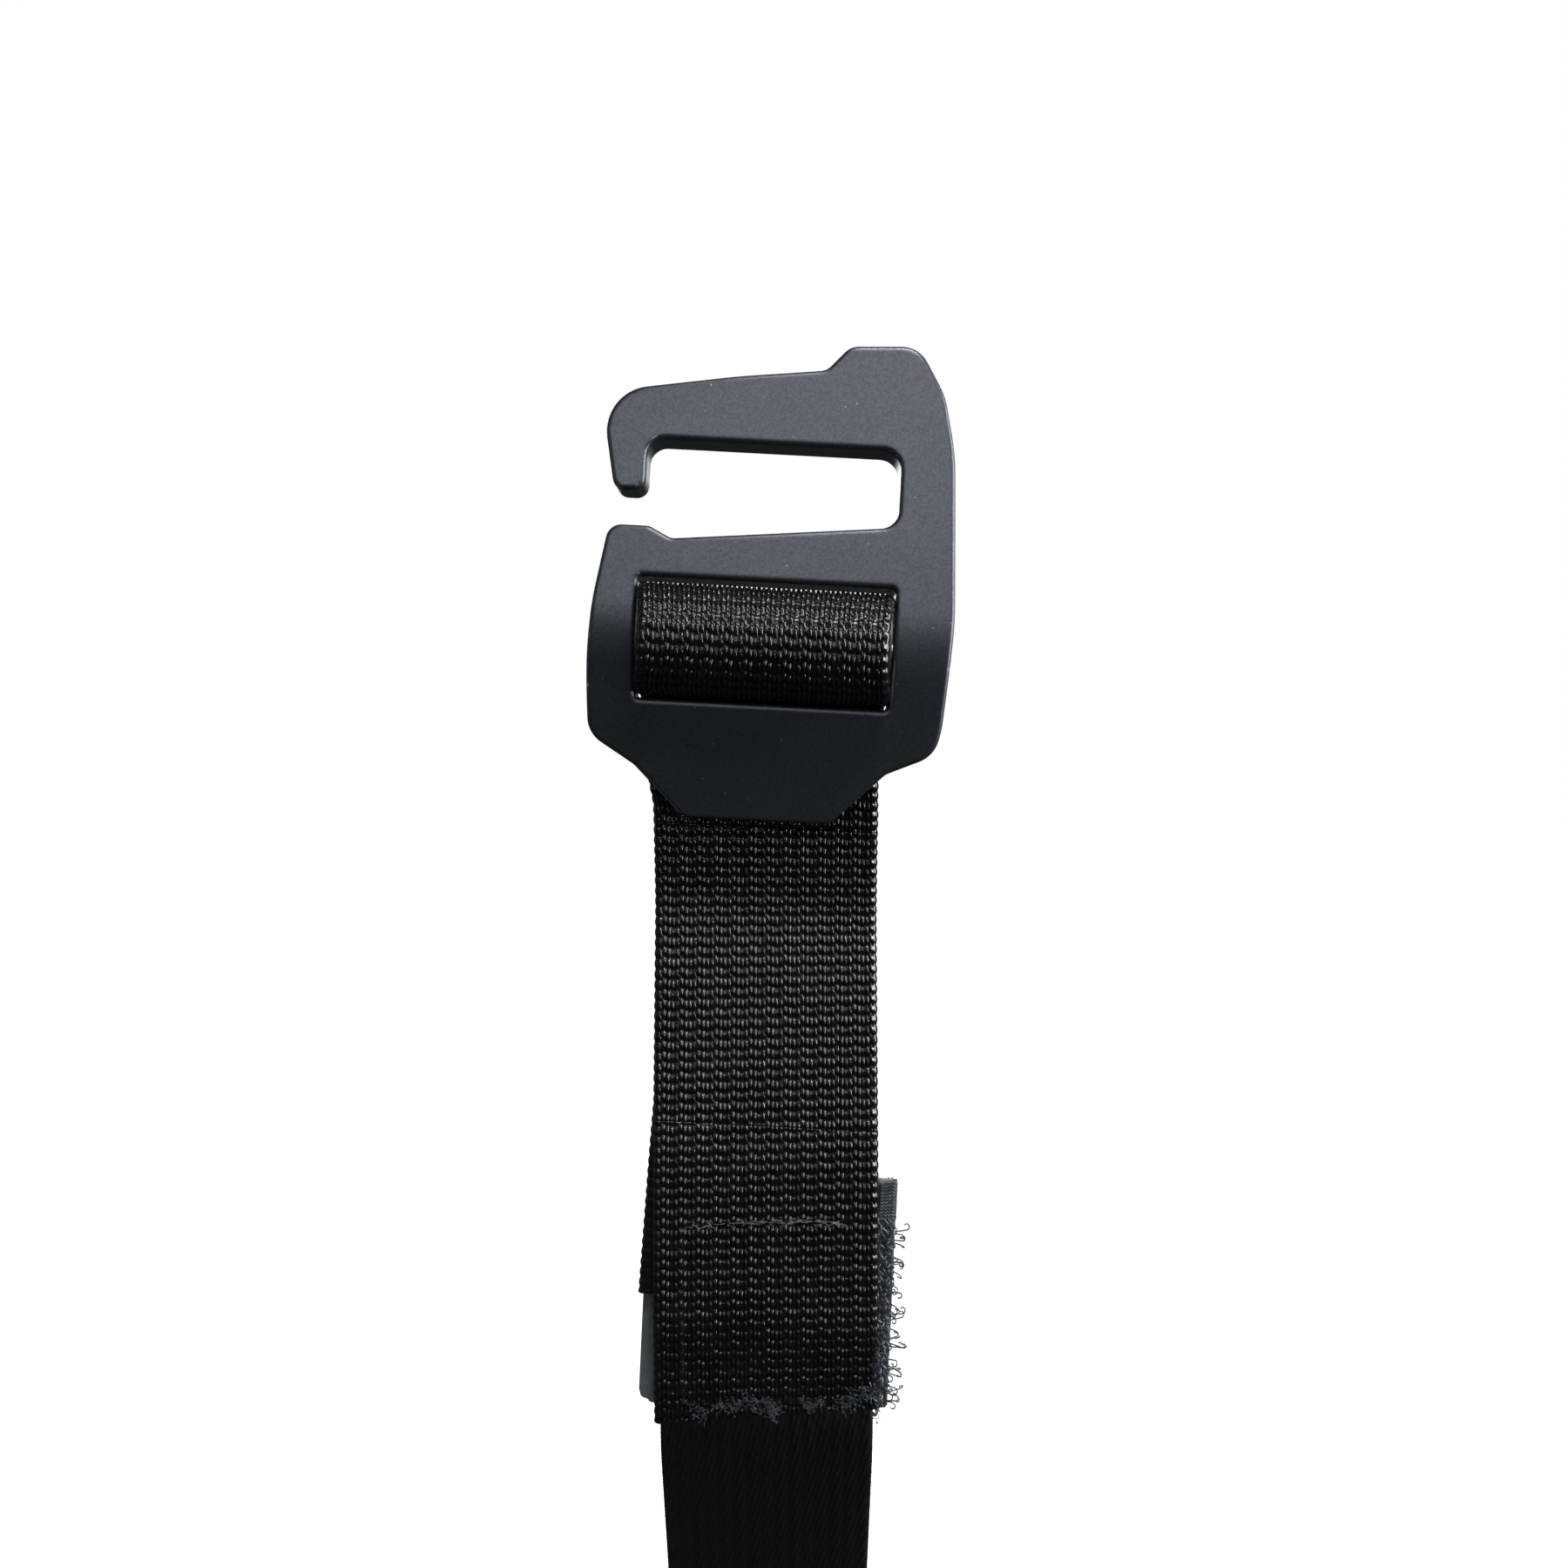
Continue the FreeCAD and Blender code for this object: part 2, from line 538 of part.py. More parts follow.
# ---------------------------------------------------------------- band
def along_fall(run):
    """A point of the band's mid line, some way along its fall."""
    fall = math.radians(size("band_fall"))
    return (band_upper + run * math.sin(fall), -size("band_fall_drop") - run * math.cos(fall), 0.0)


def end_loop_path():
    """The band's mid line round the end loop and back up along the overlap."""
    eye_top = size("end_loop_tall") - size("end_loop_drop")
    low = band_half - size("end_loop_drop")
    lap = size("band_thick") + size("ply_gap") / 2
    half = size("end_loop_open") / 2 + band_half
    middle = band_lower + lap / 2
    opened = eye_top - size("end_loop_taper")
    bend_open, bend_low = size("end_loop_bend"), half - size("end_loop_ease")
    return [
        (band_lower, eye_top, bend_open), (middle - half, opened, bend_open),
        (middle - half, low, bend_low), (middle + half, low, bend_low),
        (middle + half, opened, bend_open), (band_lower + lap, eye_top, bend_open),
        (band_lower + lap, eye_top + size("end_loop_lap"), 0.0),
    ]


def make_band():
    """Four stretches of one band, parted by small gaps where it flexes; the last one ends in a loop."""
    half_gap = size("flex_gap") / 2
    fall_top = -size("band_fall_drop")
    fall_bottom = fall_top - size("band_fall_depth") / math.tan(math.radians(size("band_fall")))
    run, two, three = size("flex_one_run"), size("flex_two_drop"), size("flex_three_drop")
    bent_off = (band_upper, fall_top, size("band_fall_bend"))
    bent_down = (band_lower, fall_bottom, size("band_hang_bend"))
    paths = [
        [(band_upper, -size("band_top"), 0.0), bent_off, along_fall(run - half_gap)],
        [along_fall(run + half_gap), bent_down, (band_lower, half_gap - two, 0.0)],
        [(band_lower, -two - half_gap, 0.0), (band_lower, half_gap - three, 0.0)],
        [(band_lower, -three - half_gap, 0.0)] + end_loop_path(),
    ]
    for number, path in enumerate(paths, start=1):
        section = ribbon_face(path, -band_half, band_half, nose=size("band_nose"))
        strip = extruded(f"band_{number}", section, Vector(1, 0, 0), "band_wide")
        finished(strip, f"band_segment_{number}")


def make_bar_tacks():
    """Bar tacks on both faces of the end loop's overlap."""
    first = size("end_loop_tall") - size("end_loop_drop") + size("tack_tall")
    pitch = (size("end_loop_lap") - 2 * size("tack_tall")) / TACKS
    rear = band_lower + band_half + size("band_thick") + size("ply_gap") / 2
    bars = []
    for number in range(TACKS):
        for side, near in (("front", band_lower - band_half - size("thread_proud")), ("rear", rear)):
            bar = doc.addObject("Part::Box", f"tack_{side}_{number + 1}")
            bar.setExpression("Length", "Sizes.tack_wide")
            bar.setExpression("Width", "Sizes.thread_proud")
            bar.setExpression("Height", "Sizes.tack_tall")
            corner = Vector(-size("tack_wide") / 2, near, first + number * pitch)
            bar.Placement = FreeCAD.Placement(corner, FreeCAD.Rotation())
            bars.append(bar)
    group = doc.addObject("Part::Compound", "tack_group")
    group.Links = bars
    finished(group, "end_bar_tacks")


make_hook()
make_axle()
make_roller()
make_webbing()
make_tapes()
make_box_stitch()
make_band()
make_bar_tacks()
doc.recompute()

# ---------------------------------------------------------------- checks and files
for thing in doc.Objects:
    if "Invalid" in thing.State or "Error" in thing.State:
        raise RuntimeError(f"{thing.Name} failed to build: {thing.State}")
for thing in sub_parts:
    if thing.Shape.isNull() or not thing.Shape.isValid() or not thing.Shape.Solids:
        raise RuntimeError(f"{thing.Label} has no valid solid")
os.makedirs("parts", exist_ok=True)
for thing in sub_parts:
    thing.Shape.exportStep(f"parts/{thing.Label}.step")
    box = thing.Shape.BoundBox
    print(f"{thing.Label:20s} {thing.Shape.Volume:9.2f} mm3  X {box.XMin:7.2f} {box.XMax:7.2f}"
          f"  Y {box.YMin:7.2f} {box.YMax:7.2f}  Z {box.ZMin:8.2f} {box.ZMax:8.2f}")
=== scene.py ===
# %% [markdown]
# # A webbing tourniquet with a flat metal hook
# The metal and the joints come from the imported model, which never moves. This lesson puts
# real cloth on it: woven straps, hook-and-loop tape, thread and fluff. Everything is in
# metres in the model's own frame, with +Y going away from the hook's front and +Z up.

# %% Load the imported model
import json
import math

import bmesh
import bpy
import numpy as np
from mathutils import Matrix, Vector


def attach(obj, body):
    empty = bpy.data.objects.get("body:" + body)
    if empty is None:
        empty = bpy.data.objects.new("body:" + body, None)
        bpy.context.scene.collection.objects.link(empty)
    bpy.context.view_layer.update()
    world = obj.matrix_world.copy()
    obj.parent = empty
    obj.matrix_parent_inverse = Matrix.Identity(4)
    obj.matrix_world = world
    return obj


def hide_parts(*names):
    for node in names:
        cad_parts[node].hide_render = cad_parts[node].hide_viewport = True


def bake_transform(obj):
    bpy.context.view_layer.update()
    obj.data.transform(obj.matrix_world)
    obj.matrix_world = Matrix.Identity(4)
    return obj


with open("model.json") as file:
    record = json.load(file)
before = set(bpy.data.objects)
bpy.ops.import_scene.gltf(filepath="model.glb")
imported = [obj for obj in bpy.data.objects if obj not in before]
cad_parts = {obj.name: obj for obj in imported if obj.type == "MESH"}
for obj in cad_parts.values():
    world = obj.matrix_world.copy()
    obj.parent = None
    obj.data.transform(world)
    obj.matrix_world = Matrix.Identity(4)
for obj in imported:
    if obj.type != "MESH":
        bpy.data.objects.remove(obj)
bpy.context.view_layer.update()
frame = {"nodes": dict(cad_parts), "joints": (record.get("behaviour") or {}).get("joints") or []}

MM = 0.001
joints = {joint["name"]: joint for joint in frame["joints"]}
AXLE = np.array(joints["strap_swing"]["pos_m"]) / MM
LEAN = math.tan(math.radians(3.0))
print("joints:", sorted(joints), "axle at", AXLE.round(3), "mm")

# %% [markdown]
# ## Reading along a strap
# A strap is flat stock that follows a line seen from the side. The line is a few straight
# runs with arcs between them, the same as the model's solids. A strap mesh starts as a flat
# grid, and its vertices are then moved onto that line, so the weave can be worked out on the
# flat cloth, in millimetres across and along, before the cloth is bent.

# %% A course: straight runs and arcs, read by distance
def rounded_line(corners, step=0.1):
    """Points every step millimetres along corners (y, z, radius) measured from the axle."""
    places = np.array([corner[:2] for corner in corners], float)
    line = [places[0]]
    for before, here, after, corner in zip(places, places[1:], places[2:], corners[1:]):
        arriving = (here - before) / np.linalg.norm(here - before)
        leaving = (after - here) / np.linalg.norm(after - here)
        turn = math.acos(np.clip(arriving @ leaving, -1, 1))
        if corner[2] <= 0 or turn < 1e-4:
            line.append(here)
            continue
        reach = corner[2] * math.tan(turn / 2)
        inward = leaving - arriving
        centre = here + inward / np.linalg.norm(inward) * corner[2] / math.cos(turn / 2)
        start, stop = here - arriving * reach - centre, here + leaving * reach - centre
        for share in np.linspace(0, 1, max(3, int(corner[2] * turn / step))):
            weights = math.sin((1 - share) * turn), math.sin(share * turn)
            line.append(centre + (start * weights[0] + stop * weights[1]) / math.sin(turn))
    return np.array(line + [places[-1]])


class Course:
    """The side view of a strap: place and facing at any distance along it."""

    def __init__(self, corners, leans=0.0):
        line = rounded_line(corners)
        self.leans = leans
        steps = np.linalg.norm(np.diff(line, axis=0), axis=1)
        keep = np.concatenate([[True], steps > 1e-6])
        self.line = line[keep]
        self.run = np.concatenate([[0], np.cumsum(steps[steps > 1e-6])])
        self.length = float(self.run[-1])
        self.heading = np.gradient(self.line, self.run, axis=0)

    def at(self, distance):
        """Y and Z of the line, and its left-hand normal, at each distance."""
        place = [np.interp(distance, self.run, self.line[:, i]) for i in (0, 1)]
        way = [np.interp(distance, self.run, self.heading[:, i]) for i in (0, 1)]
        size = np.hypot(*way)
        return place[0], place[1], -way[1] / size, way[0] / size

    def height(self, level, low=0.0, high=None):
        """Distance along the course, between two others, where it passes a height."""
        run = np.linspace(low, self.length if high is None else high, 4000)
        return float(run[np.argmin(abs(self.at(run)[1] - level))])


BEND, BEND_RADIUS = math.radians(17.0), 18.0
BEND_CORNER = 3.3 - BEND_RADIUS * math.tan(BEND / 2)


def behind_plate(level, distance):
    """Y of the line that runs some way behind the leaning tongue's middle."""
    return (BEND_CORNER - level) * math.tan(BEND) + distance / math.cos(BEND)


print("courses are read in millimetres from the axle")

# %% [markdown]
# ## A woven strap
# Real webbing has two faces and two rolled edges. One grid is wrapped into a flat tube: its
# columns go across the front, round an edge, across the back and round the other edge. The
# side that nobody sees gets few columns, so that the weave that shows can have many.

# %% Wrap a grid into a strap
NARROWEST = 0.02                # least gap between two columns
WELD = 2e-7                     # metres between vertices that are one


def rolled_edge(middle, radius, first, count):
    """Columns over half a turn round an edge, from an angle towards smaller ones."""
    angles = np.linspace(first, first - math.pi, count, endpoint=False)
    return [(middle + radius * math.cos(angle), radius * math.sin(angle),
             math.cos(angle), math.sin(angle), 0) for angle in angles]


def wrap_columns(half_wide, half_thick, counts):
    """Across, outward and facing of each column round the strap, and which face it is on.

    counts gives the front's columns, as a number or as their places, and then the numbers
    of columns on an edge and on the back."""
    front, edge, back = counts
    flat = half_wide - half_thick
    if np.isscalar(front):
        places = np.linspace(-flat, flat, front, endpoint=False)
    else:
        places = np.concatenate([[-flat], front[abs(front) < flat - NARROWEST]])
    rows = [(x, half_thick, 0.0, 1.0, 1) for x in places]
    rows += rolled_edge(flat, half_thick, math.pi / 2, edge)
    rows += [(x, -half_thick, 0.0, -1.0, -1)
             for x in np.linspace(flat, -flat, back, endpoint=False)]
    rows += rolled_edge(-flat, half_thick, -math.pi / 2, edge)
    return np.array(rows + rows[:1])


def flat_grid(columns, rows):
    """A new bmesh with a grid one unit wide, its cloth layer, and its vertices' places."""
    bm = bmesh.new()
    layer = bm.loops.layers.uv.new("cloth")
    bmesh.ops.create_grid(bm, x_segments=columns, y_segments=rows, size=0.5)
    return bm, layer, np.array([vertex.co[:2] for vertex in bm.verts])


def lay_cloth(bm, layer, places, across, along):
    """Moves the grid to its places in the frame, with UVs in centimetres of flat cloth."""
    for vertex, place in zip(bm.verts, places):
        vertex.co = place
    for face in bm.faces:
        for loop in face.loops:
            i = loop.vert.index
            loop[layer].uv = (across[i] / 10, along[i] / 10)


def thicken(bm, thickness):
    """Gives a sheet a thickness, in metres, and turns its faces outwards."""
    bm.normal_update()
    bmesh.ops.solidify(bm, geom=bm.faces, thickness=thickness)
    bmesh.ops.recalc_face_normals(bm, faces=bm.faces)


def finish_mesh(bm, name, material):
    """Writes a bmesh to a new object at the origin, smooth shaded."""
    mesh = bpy.data.meshes.new(name)
    bm.to_mesh(mesh)
    bm.free()
    mesh.shade_smooth()
    mesh.materials.append(material)
    piece = bpy.data.objects.new(name, mesh)
    bpy.context.scene.collection.objects.link(piece)
    print(f"{name}: {len(mesh.polygons)} faces")
    return piece


def to_frame(x, y, z):
    """Millimetres from the axle to metres in the frame."""
    return np.stack([x + AXLE[0], y + AXLE[1], z + AXLE[2]], axis=-1) * MM


def woven_strap(name, course, start, stop, stock, counts, rows, relief, material,
                drape=None, side=1):
    """A closed strap between two distances of a course.

    relief(across, along, face) raises its weave, and drape moves its cloth. side is 1 if
    the finely divided face looks to the left of the course, and -1 if to the right."""
    half_wide, half_thick = stock
    columns = wrap_columns(half_wide, half_thick, counts)
    columns[:, [1, 3]] *= side
    bm, layer, flat = flat_grid(len(columns) - 1, rows)
    flat = flat + 0.5
    column = columns[np.rint(flat[:, 0] * (len(columns) - 1)).astype(int)]
    across, out, side_x, side_y, face = column.T
    along, shift = start + flat[:, 1] * (stop - start), 0.0
    if drape:
        along, shift = drape(across, along, flat[:, 1])
    raised = relief(across, along, face)
    y, z, normal_y, normal_z = course.at(along)
    reach = out + side_y * raised
    x = across + side_x * raised + shift
    z = z + normal_z * reach - x * LEAN * course.leans
    lay_cloth(bm, layer, to_frame(x, y + normal_y * reach, z), across, along)
    bmesh.ops.remove_doubles(bm, verts=bm.verts, dist=WELD)
    rim = [edge for edge in bm.edges if edge.is_boundary]
    bmesh.ops.holes_fill(bm, edges=rim, sides=0)
    bmesh.ops.recalc_face_normals(bm, faces=bm.faces)
    return finish_mesh(bm, name, material)


print("a strap's grid is wrapped round both faces and both edges")

# %% [markdown]
# ## Node groups that several finishes share
# Fine grain, yarn fibres and edge wear turn up on more than one material, so each is a node
# group that puts out a mask or a height. The edge wear mask also paints highlights along
# sharp edges. Colours, roughness and the shader itself stay in the material, where each
# finish gives the group its own values.

# %% Group builder
def new_group(name, inputs, outputs):
    """A shader node group with named value sockets; returns it with its two end nodes."""
    group = bpy.data.node_groups.new(name, "ShaderNodeTree")
    for socket, kind, default in inputs:
        made = group.interface.new_socket(name=socket, in_out="INPUT", socket_type=kind)
        if default is not None:
            made.default_value = default
    for socket in outputs:
        group.interface.new_socket(name=socket, in_out="OUTPUT", socket_type="NodeSocketFloat")
    return group, group.nodes.new("NodeGroupInput"), group.nodes.new("NodeGroupOutput")


def add_node(tree, kind, settings=None, **values):
    """A node with its settings, and socket values by name with spaces as underscores."""
    node = tree.nodes.new(kind)
    for key, value in (settings or {}).items():
        setattr(node, key, value)
    for key, value in values.items():
        node.inputs[key.replace("_", " ")].default_value = value
    return node


def feed(tree, node, *values):
    """Fills a node's first inputs in order from sockets or constants; returns its output."""
    for socket, value in zip(node.inputs, values):
        if isinstance(value, bpy.types.NodeSocket):
            tree.links.new(value, socket)
        else:
            socket.default_value = value
    return node.outputs[0]


def math_node(tree, operation, first, second):
    """The output of a Math node whose two inputs are sockets or numbers."""
    return feed(tree, add_node(tree, "ShaderNodeMath", {"operation": operation}), first, second)


# %% Grain: blasted metal, moulded plastic
SPECK_SIZE, SPECK_RARITY = 0.13, 0.955      # share of a cell, and of cells without a speck


def grain_group():
    """Two sizes of noise and rare bright specks."""
    group, ends, out = new_group("grain", [("Vector", "NodeSocketVector", None),
                                           ("Scale", "NodeSocketFloat", 6000.0)],
                                 ["Fine", "Cloud", "Speck"])
    fine = add_node(group, "ShaderNodeTexNoise", Detail=4.0, Roughness=0.65)
    cloud = add_node(group, "ShaderNodeTexNoise", Scale=160.0, Detail=3.0, Roughness=0.5)
    cells = add_node(group, "ShaderNodeTexVoronoi", Scale=1700.0)
    for node in (fine, cloud, cells):
        group.links.new(ends.outputs["Vector"], node.inputs["Vector"])
    group.links.new(ends.outputs["Scale"], fine.inputs["Scale"])
    near = math_node(group, "LESS_THAN", cells.outputs["Distance"], SPECK_SIZE)
    red = group.nodes.new("ShaderNodeSeparateColor")
    group.links.new(cells.outputs["Color"], red.inputs["Color"])
    rare = math_node(group, "GREATER_THAN", red.outputs["Red"], SPECK_RARITY)
    group.links.new(fine.outputs["Fac"], out.inputs["Fine"])
    group.links.new(cloud.outputs["Fac"], out.inputs["Cloud"])
    group.links.new(math_node(group, "MULTIPLY", near, rare), out.inputs["Speck"])
    return group


# %% Fibres: the filaments that a yarn is twisted from
def fibre_group():
    """Long thin noise along the yarns, and a slow noise that tells yarns apart."""
    group, ends, out = new_group("fibres", [("Vector", "NodeSocketVector", None),
                                            ("Across", "NodeSocketFloat", 260.0),
                                            ("Along", "NodeSocketFloat", 22.0),
                                            ("Twist", "NodeSocketFloat", 0.35)], ["Filament", "Patch"])
    split = group.nodes.new("ShaderNodeSeparateXYZ")
    group.links.new(ends.outputs["Vector"], split.inputs["Vector"])
    leaning = math_node(group, "MULTIPLY", split.outputs["Y"], ends.outputs["Twist"])
    turned = math_node(group, "ADD", split.outputs["X"], leaning)
    joined = group.nodes.new("ShaderNodeCombineXYZ")
    feed(group, joined, math_node(group, "MULTIPLY", turned, ends.outputs["Across"]),
         math_node(group, "MULTIPLY", split.outputs["Y"], ends.outputs["Along"]))
    thin = add_node(group, "ShaderNodeTexNoise", Scale=1.0, Detail=2.0, Roughness=0.6)
    slow = add_node(group, "ShaderNodeTexNoise", Scale=2.2, Detail=4.0, Roughness=0.6)
    group.links.new(joined.outputs["Vector"], thin.inputs["Vector"])
    group.links.new(ends.outputs["Vector"], slow.inputs["Vector"])
    group.links.new(thin.outputs["Fac"], out.inputs["Filament"])
    group.links.new(slow.outputs["Fac"], out.inputs["Patch"])
    return group


# %% Wear and painted edge highlights: sharp corners where a finish is rubbed thin, and where edge light is painted on
def wear_and_edge_glint_group():
    """How much sharper than its surroundings a place is, broken up by noise: rubbed wear, and the mask
    for painted edge highlights.
    """
    group, ends, out = new_group("edge_wear_and_painted_glint", [("Vector", "NodeSocketVector", None),
                                               ("Low", "NodeSocketFloat", 0.52),
                                               ("High", "NodeSocketFloat", 0.6)], ["Worn"])
    shape = group.nodes.new("ShaderNodeNewGeometry")
    noise = add_node(group, "ShaderNodeTexNoise", Scale=900.0, Detail=5.0, Roughness=0.7)
    group.links.new(ends.outputs["Vector"], noise.inputs["Vector"])
    edge = add_node(group, "ShaderNodeMapRange", {"interpolation_type": "SMOOTHSTEP"})
    group.links.new(shape.outputs["Pointiness"], edge.inputs["Value"])
    group.links.new(ends.outputs["Low"], edge.inputs["From Min"])
    group.links.new(ends.outputs["High"], edge.inputs["From Max"])
    worn = math_node(group, "MULTIPLY", edge.outputs["Result"], noise.outputs["Fac"])
    group.links.new(worn, out.inputs["Worn"])
    return group


GRAIN, FIBRES, WEAR_AND_GLINT = grain_group(), fibre_group(), wear_and_edge_glint_group()
print("groups:", GRAIN.name, FIBRES.name, WEAR_AND_GLINT.name)

# %% [markdown]
# ## Finishes
# A finish starts as a Principled shader with its constants on its own sockets. What changes
# over the surface, such as colour, roughness and bump, comes in through nodes.

# %% Material helpers
def new_finish(name, roughness, specular=0.5, metallic=0.0, sheen=0.0):
    """A material with a Principled shader; returns the material, its tree and the shader."""
    material = bpy.data.materials.new(name)
    material.use_nodes = True
    shader = material.node_tree.nodes["Principled BSDF"]
    shader.inputs["Roughness"].default_value = roughness
    shader.inputs["Specular IOR Level"].default_value = specular
    shader.inputs["Metallic"].default_value = metallic
    shader.inputs["Sheen Weight"].default_value = sheen
    shader.inputs["Sheen Roughness"].default_value = 0.45
    return material, material.node_tree, shader


def place_group(tree, group, coordinates, **values):
    """A shared group in a material, fed with coordinates and its own values."""
    node = tree.nodes.new("ShaderNodeGroup")
    node.node_tree = group
    tree.links.new(coordinates, node.inputs["Vector"])
    for key, value in values.items():
        node.inputs[key].default_value = value
    return node


def colour_ramp(tree, factor, dark, light, low, high):
    """Dark to light as a mask goes from low to high; returns the colour."""
    ramp = tree.nodes.new("ShaderNodeValToRGB")
    for element, place, colour in zip(ramp.color_ramp.elements, (low, high), (dark, light)):
        element.position = place
        element.color = (*colour, 1.0)
    return feed(tree, ramp, factor)


def tint(tree, factor, dark, light, shader, low=0.3, high=0.7):
    """Base colour from dark to light as a mask goes from low to high."""
    colour = colour_ramp(tree, factor, dark, light, low, high)
    tree.links.new(colour, shader.inputs["Base Color"])


def mix_colours(tree, mask, first, second, blend_type="MIX"):
    """The output of a colour mix whose three inputs are sockets or constants."""
    node = add_node(tree, "ShaderNodeMixRGB", {"blend_type": blend_type})
    return feed(tree, node, mask, first, second)


def vary_roughness(tree, factor, low, high, shader):
    """Roughness between two values as a mask goes from 0 to 1."""
    mapped = add_node(tree, "ShaderNodeMapRange", To_Min=low, To_Max=high)
    tree.links.new(factor, mapped.inputs["Value"])
    tree.links.new(mapped.outputs["Result"], shader.inputs["Roughness"])


def raise_bump(tree, factor, strength, distance, shader, eased=0.0):
    """A bump of real height, in metres, from a mask, over edges eased by a radius."""
    bump = add_node(tree, "ShaderNodeBump", Strength=strength, Distance=distance)
    tree.links.new(factor, bump.inputs["Height"])
    if eased:
        soft = add_node(tree, "ShaderNodeBevel", {"samples": 6}, Radius=eased)
        tree.links.new(soft.outputs["Normal"], bump.inputs["Normal"])
    tree.links.new(bump.outputs["Normal"], shader.inputs["Normal"])


# %% Metal, pin and roller
def anodised_finish():
    """Matte blasted aluminium, dyed black: grey in the light, with specks, and sharp edges lightened
    both by rubbed wear and by painted edge highlights.
    """
    material, tree, shader = new_finish("black_anodised", 0.36, specular=0.5, metallic=0.9)
    spot = tree.nodes.new("ShaderNodeTexCoord").outputs["Object"]
    grain = place_group(tree, GRAIN, spot, Scale=4800.0)
    worn = place_group(tree, WEAR_AND_GLINT, spot)
    # Sharp edges are lightened towards pale grey: partly rubbed wear, partly a painted highlight along
    # the edges.
    dyed = colour_ramp(tree, worn.outputs["Worn"], (0.076, 0.08, 0.093), (0.3, 0.305, 0.32), 0.05, 0.6)
    pits = colour_ramp(tree, grain.outputs["Fine"], (0.7, 0.69, 0.71), (1, 1, 1), 0.38, 0.62)
    blasted = mix_colours(tree, 1.0, dyed, pits, "MULTIPLY")
    flecked = mix_colours(tree, grain.outputs["Speck"], blasted, (0.24, 0.24, 0.26, 1))
    tree.links.new(flecked, shader.inputs["Base Color"])
    vary_roughness(tree, grain.outputs["Cloud"], 0.33, 0.42, shader)
    raise_bump(tree, grain.outputs["Fine"], 0.5, 0.00002, shader, eased=0.00045)
    return material


def steel_finish():
    """Ground steel of the axle, with fine lines round it."""
    material, tree, shader = new_finish("ground_steel", 0.3, metallic=1.0)
    spot = tree.nodes.new("ShaderNodeTexCoord").outputs["Object"]
    grain = place_group(tree, GRAIN, spot, Scale=3000.0)
    tint(tree, grain.outputs["Cloud"], (0.32, 0.32, 0.33), (0.5, 0.5, 0.51), shader)
    vary_roughness(tree, grain.outputs["Fine"], 0.22, 0.42, shader)
    raise_bump(tree, grain.outputs["Fine"], 0.15, 0.00001, shader)
    return material


def roller_finish():
    """Moulded black plastic of the roller."""
    material, tree, shader = new_finish("roller_plastic", 0.5)
    spot = tree.nodes.new("ShaderNodeTexCoord").outputs["Object"]
    grain = place_group(tree, GRAIN, spot, Scale=2500.0)
    tint(tree, grain.outputs["Cloud"], (0.012, 0.012, 0.012), (0.024, 0.024, 0.025), shader)
    vary_roughness(tree, grain.outputs["Fine"], 0.42, 0.6, shader)
    raise_bump(tree, grain.outputs["Fine"], 0.3, 0.00002, shader)
    return material


# %% Cloth and thread
def cloth_finish(name, dark, light, roughness, specular, sheen, across, along, twist, height):
    """Dyed yarn: filaments in the bump and the roughness, slow changes in the colour."""
    material, tree, shader = new_finish(name, sum(roughness) / 2, specular, sheen=sheen)
    coordinates = tree.nodes.new("ShaderNodeTexCoord").outputs["UV"]
    fibres = place_group(tree, FIBRES, coordinates, Across=across, Along=along, Twist=twist)
    tint(tree, fibres.outputs["Patch"], dark, light, shader)
    vary_roughness(tree, fibres.outputs["Filament"], *roughness, shader)
    raise_bump(tree, fibres.outputs["Filament"], 0.3, height, shader)
    return material


MARGIN = 1.46                   # centimetres across the tape where its hooked margin starts


def darken_margin(material):
    """The tape's ground is black under the hooks of its curled margin, and grey elsewhere."""
    tree = material.node_tree
    shader = tree.nodes["Principled BSDF"]
    plain = shader.inputs["Base Color"].links[0].from_socket
    split = tree.nodes.new("ShaderNodeSeparateXYZ")
    tree.links.new(tree.nodes.new("ShaderNodeTexCoord").outputs["UV"], split.inputs["Vector"])
    hooked = math_node(tree, "GREATER_THAN", split.outputs["X"], MARGIN)
    darker = mix_colours(tree, hooked, plain, (0.12, 0.12, 0.13, 1), "MULTIPLY")
    tree.links.new(darker, shader.inputs["Base Color"])


def thread_finish(name, dark, light, rough=0.6):
    """Sewing thread or loose fibre, each strand a shade of its own."""
    material, tree, shader = new_finish(name, rough, 0.45)
    spot = tree.nodes.new("ShaderNodeTexCoord").outputs["Object"]
    grain = place_group(tree, GRAIN, spot, Scale=5000.0)
    strand = tree.nodes.new("ShaderNodeNewGeometry").outputs["Random Per Island"]
    mixed = math_node(tree, "MULTIPLY", grain.outputs["Cloud"], strand)
    tint(tree, mixed, dark, light, shader, 0.0, 0.55)
    vary_roughness(tree, grain.outputs["Fine"], rough - 0.1, rough + 0.1, shader)
    raise_bump(tree, grain.outputs["Fine"], 0.4, 0.00003, shader)
    return material


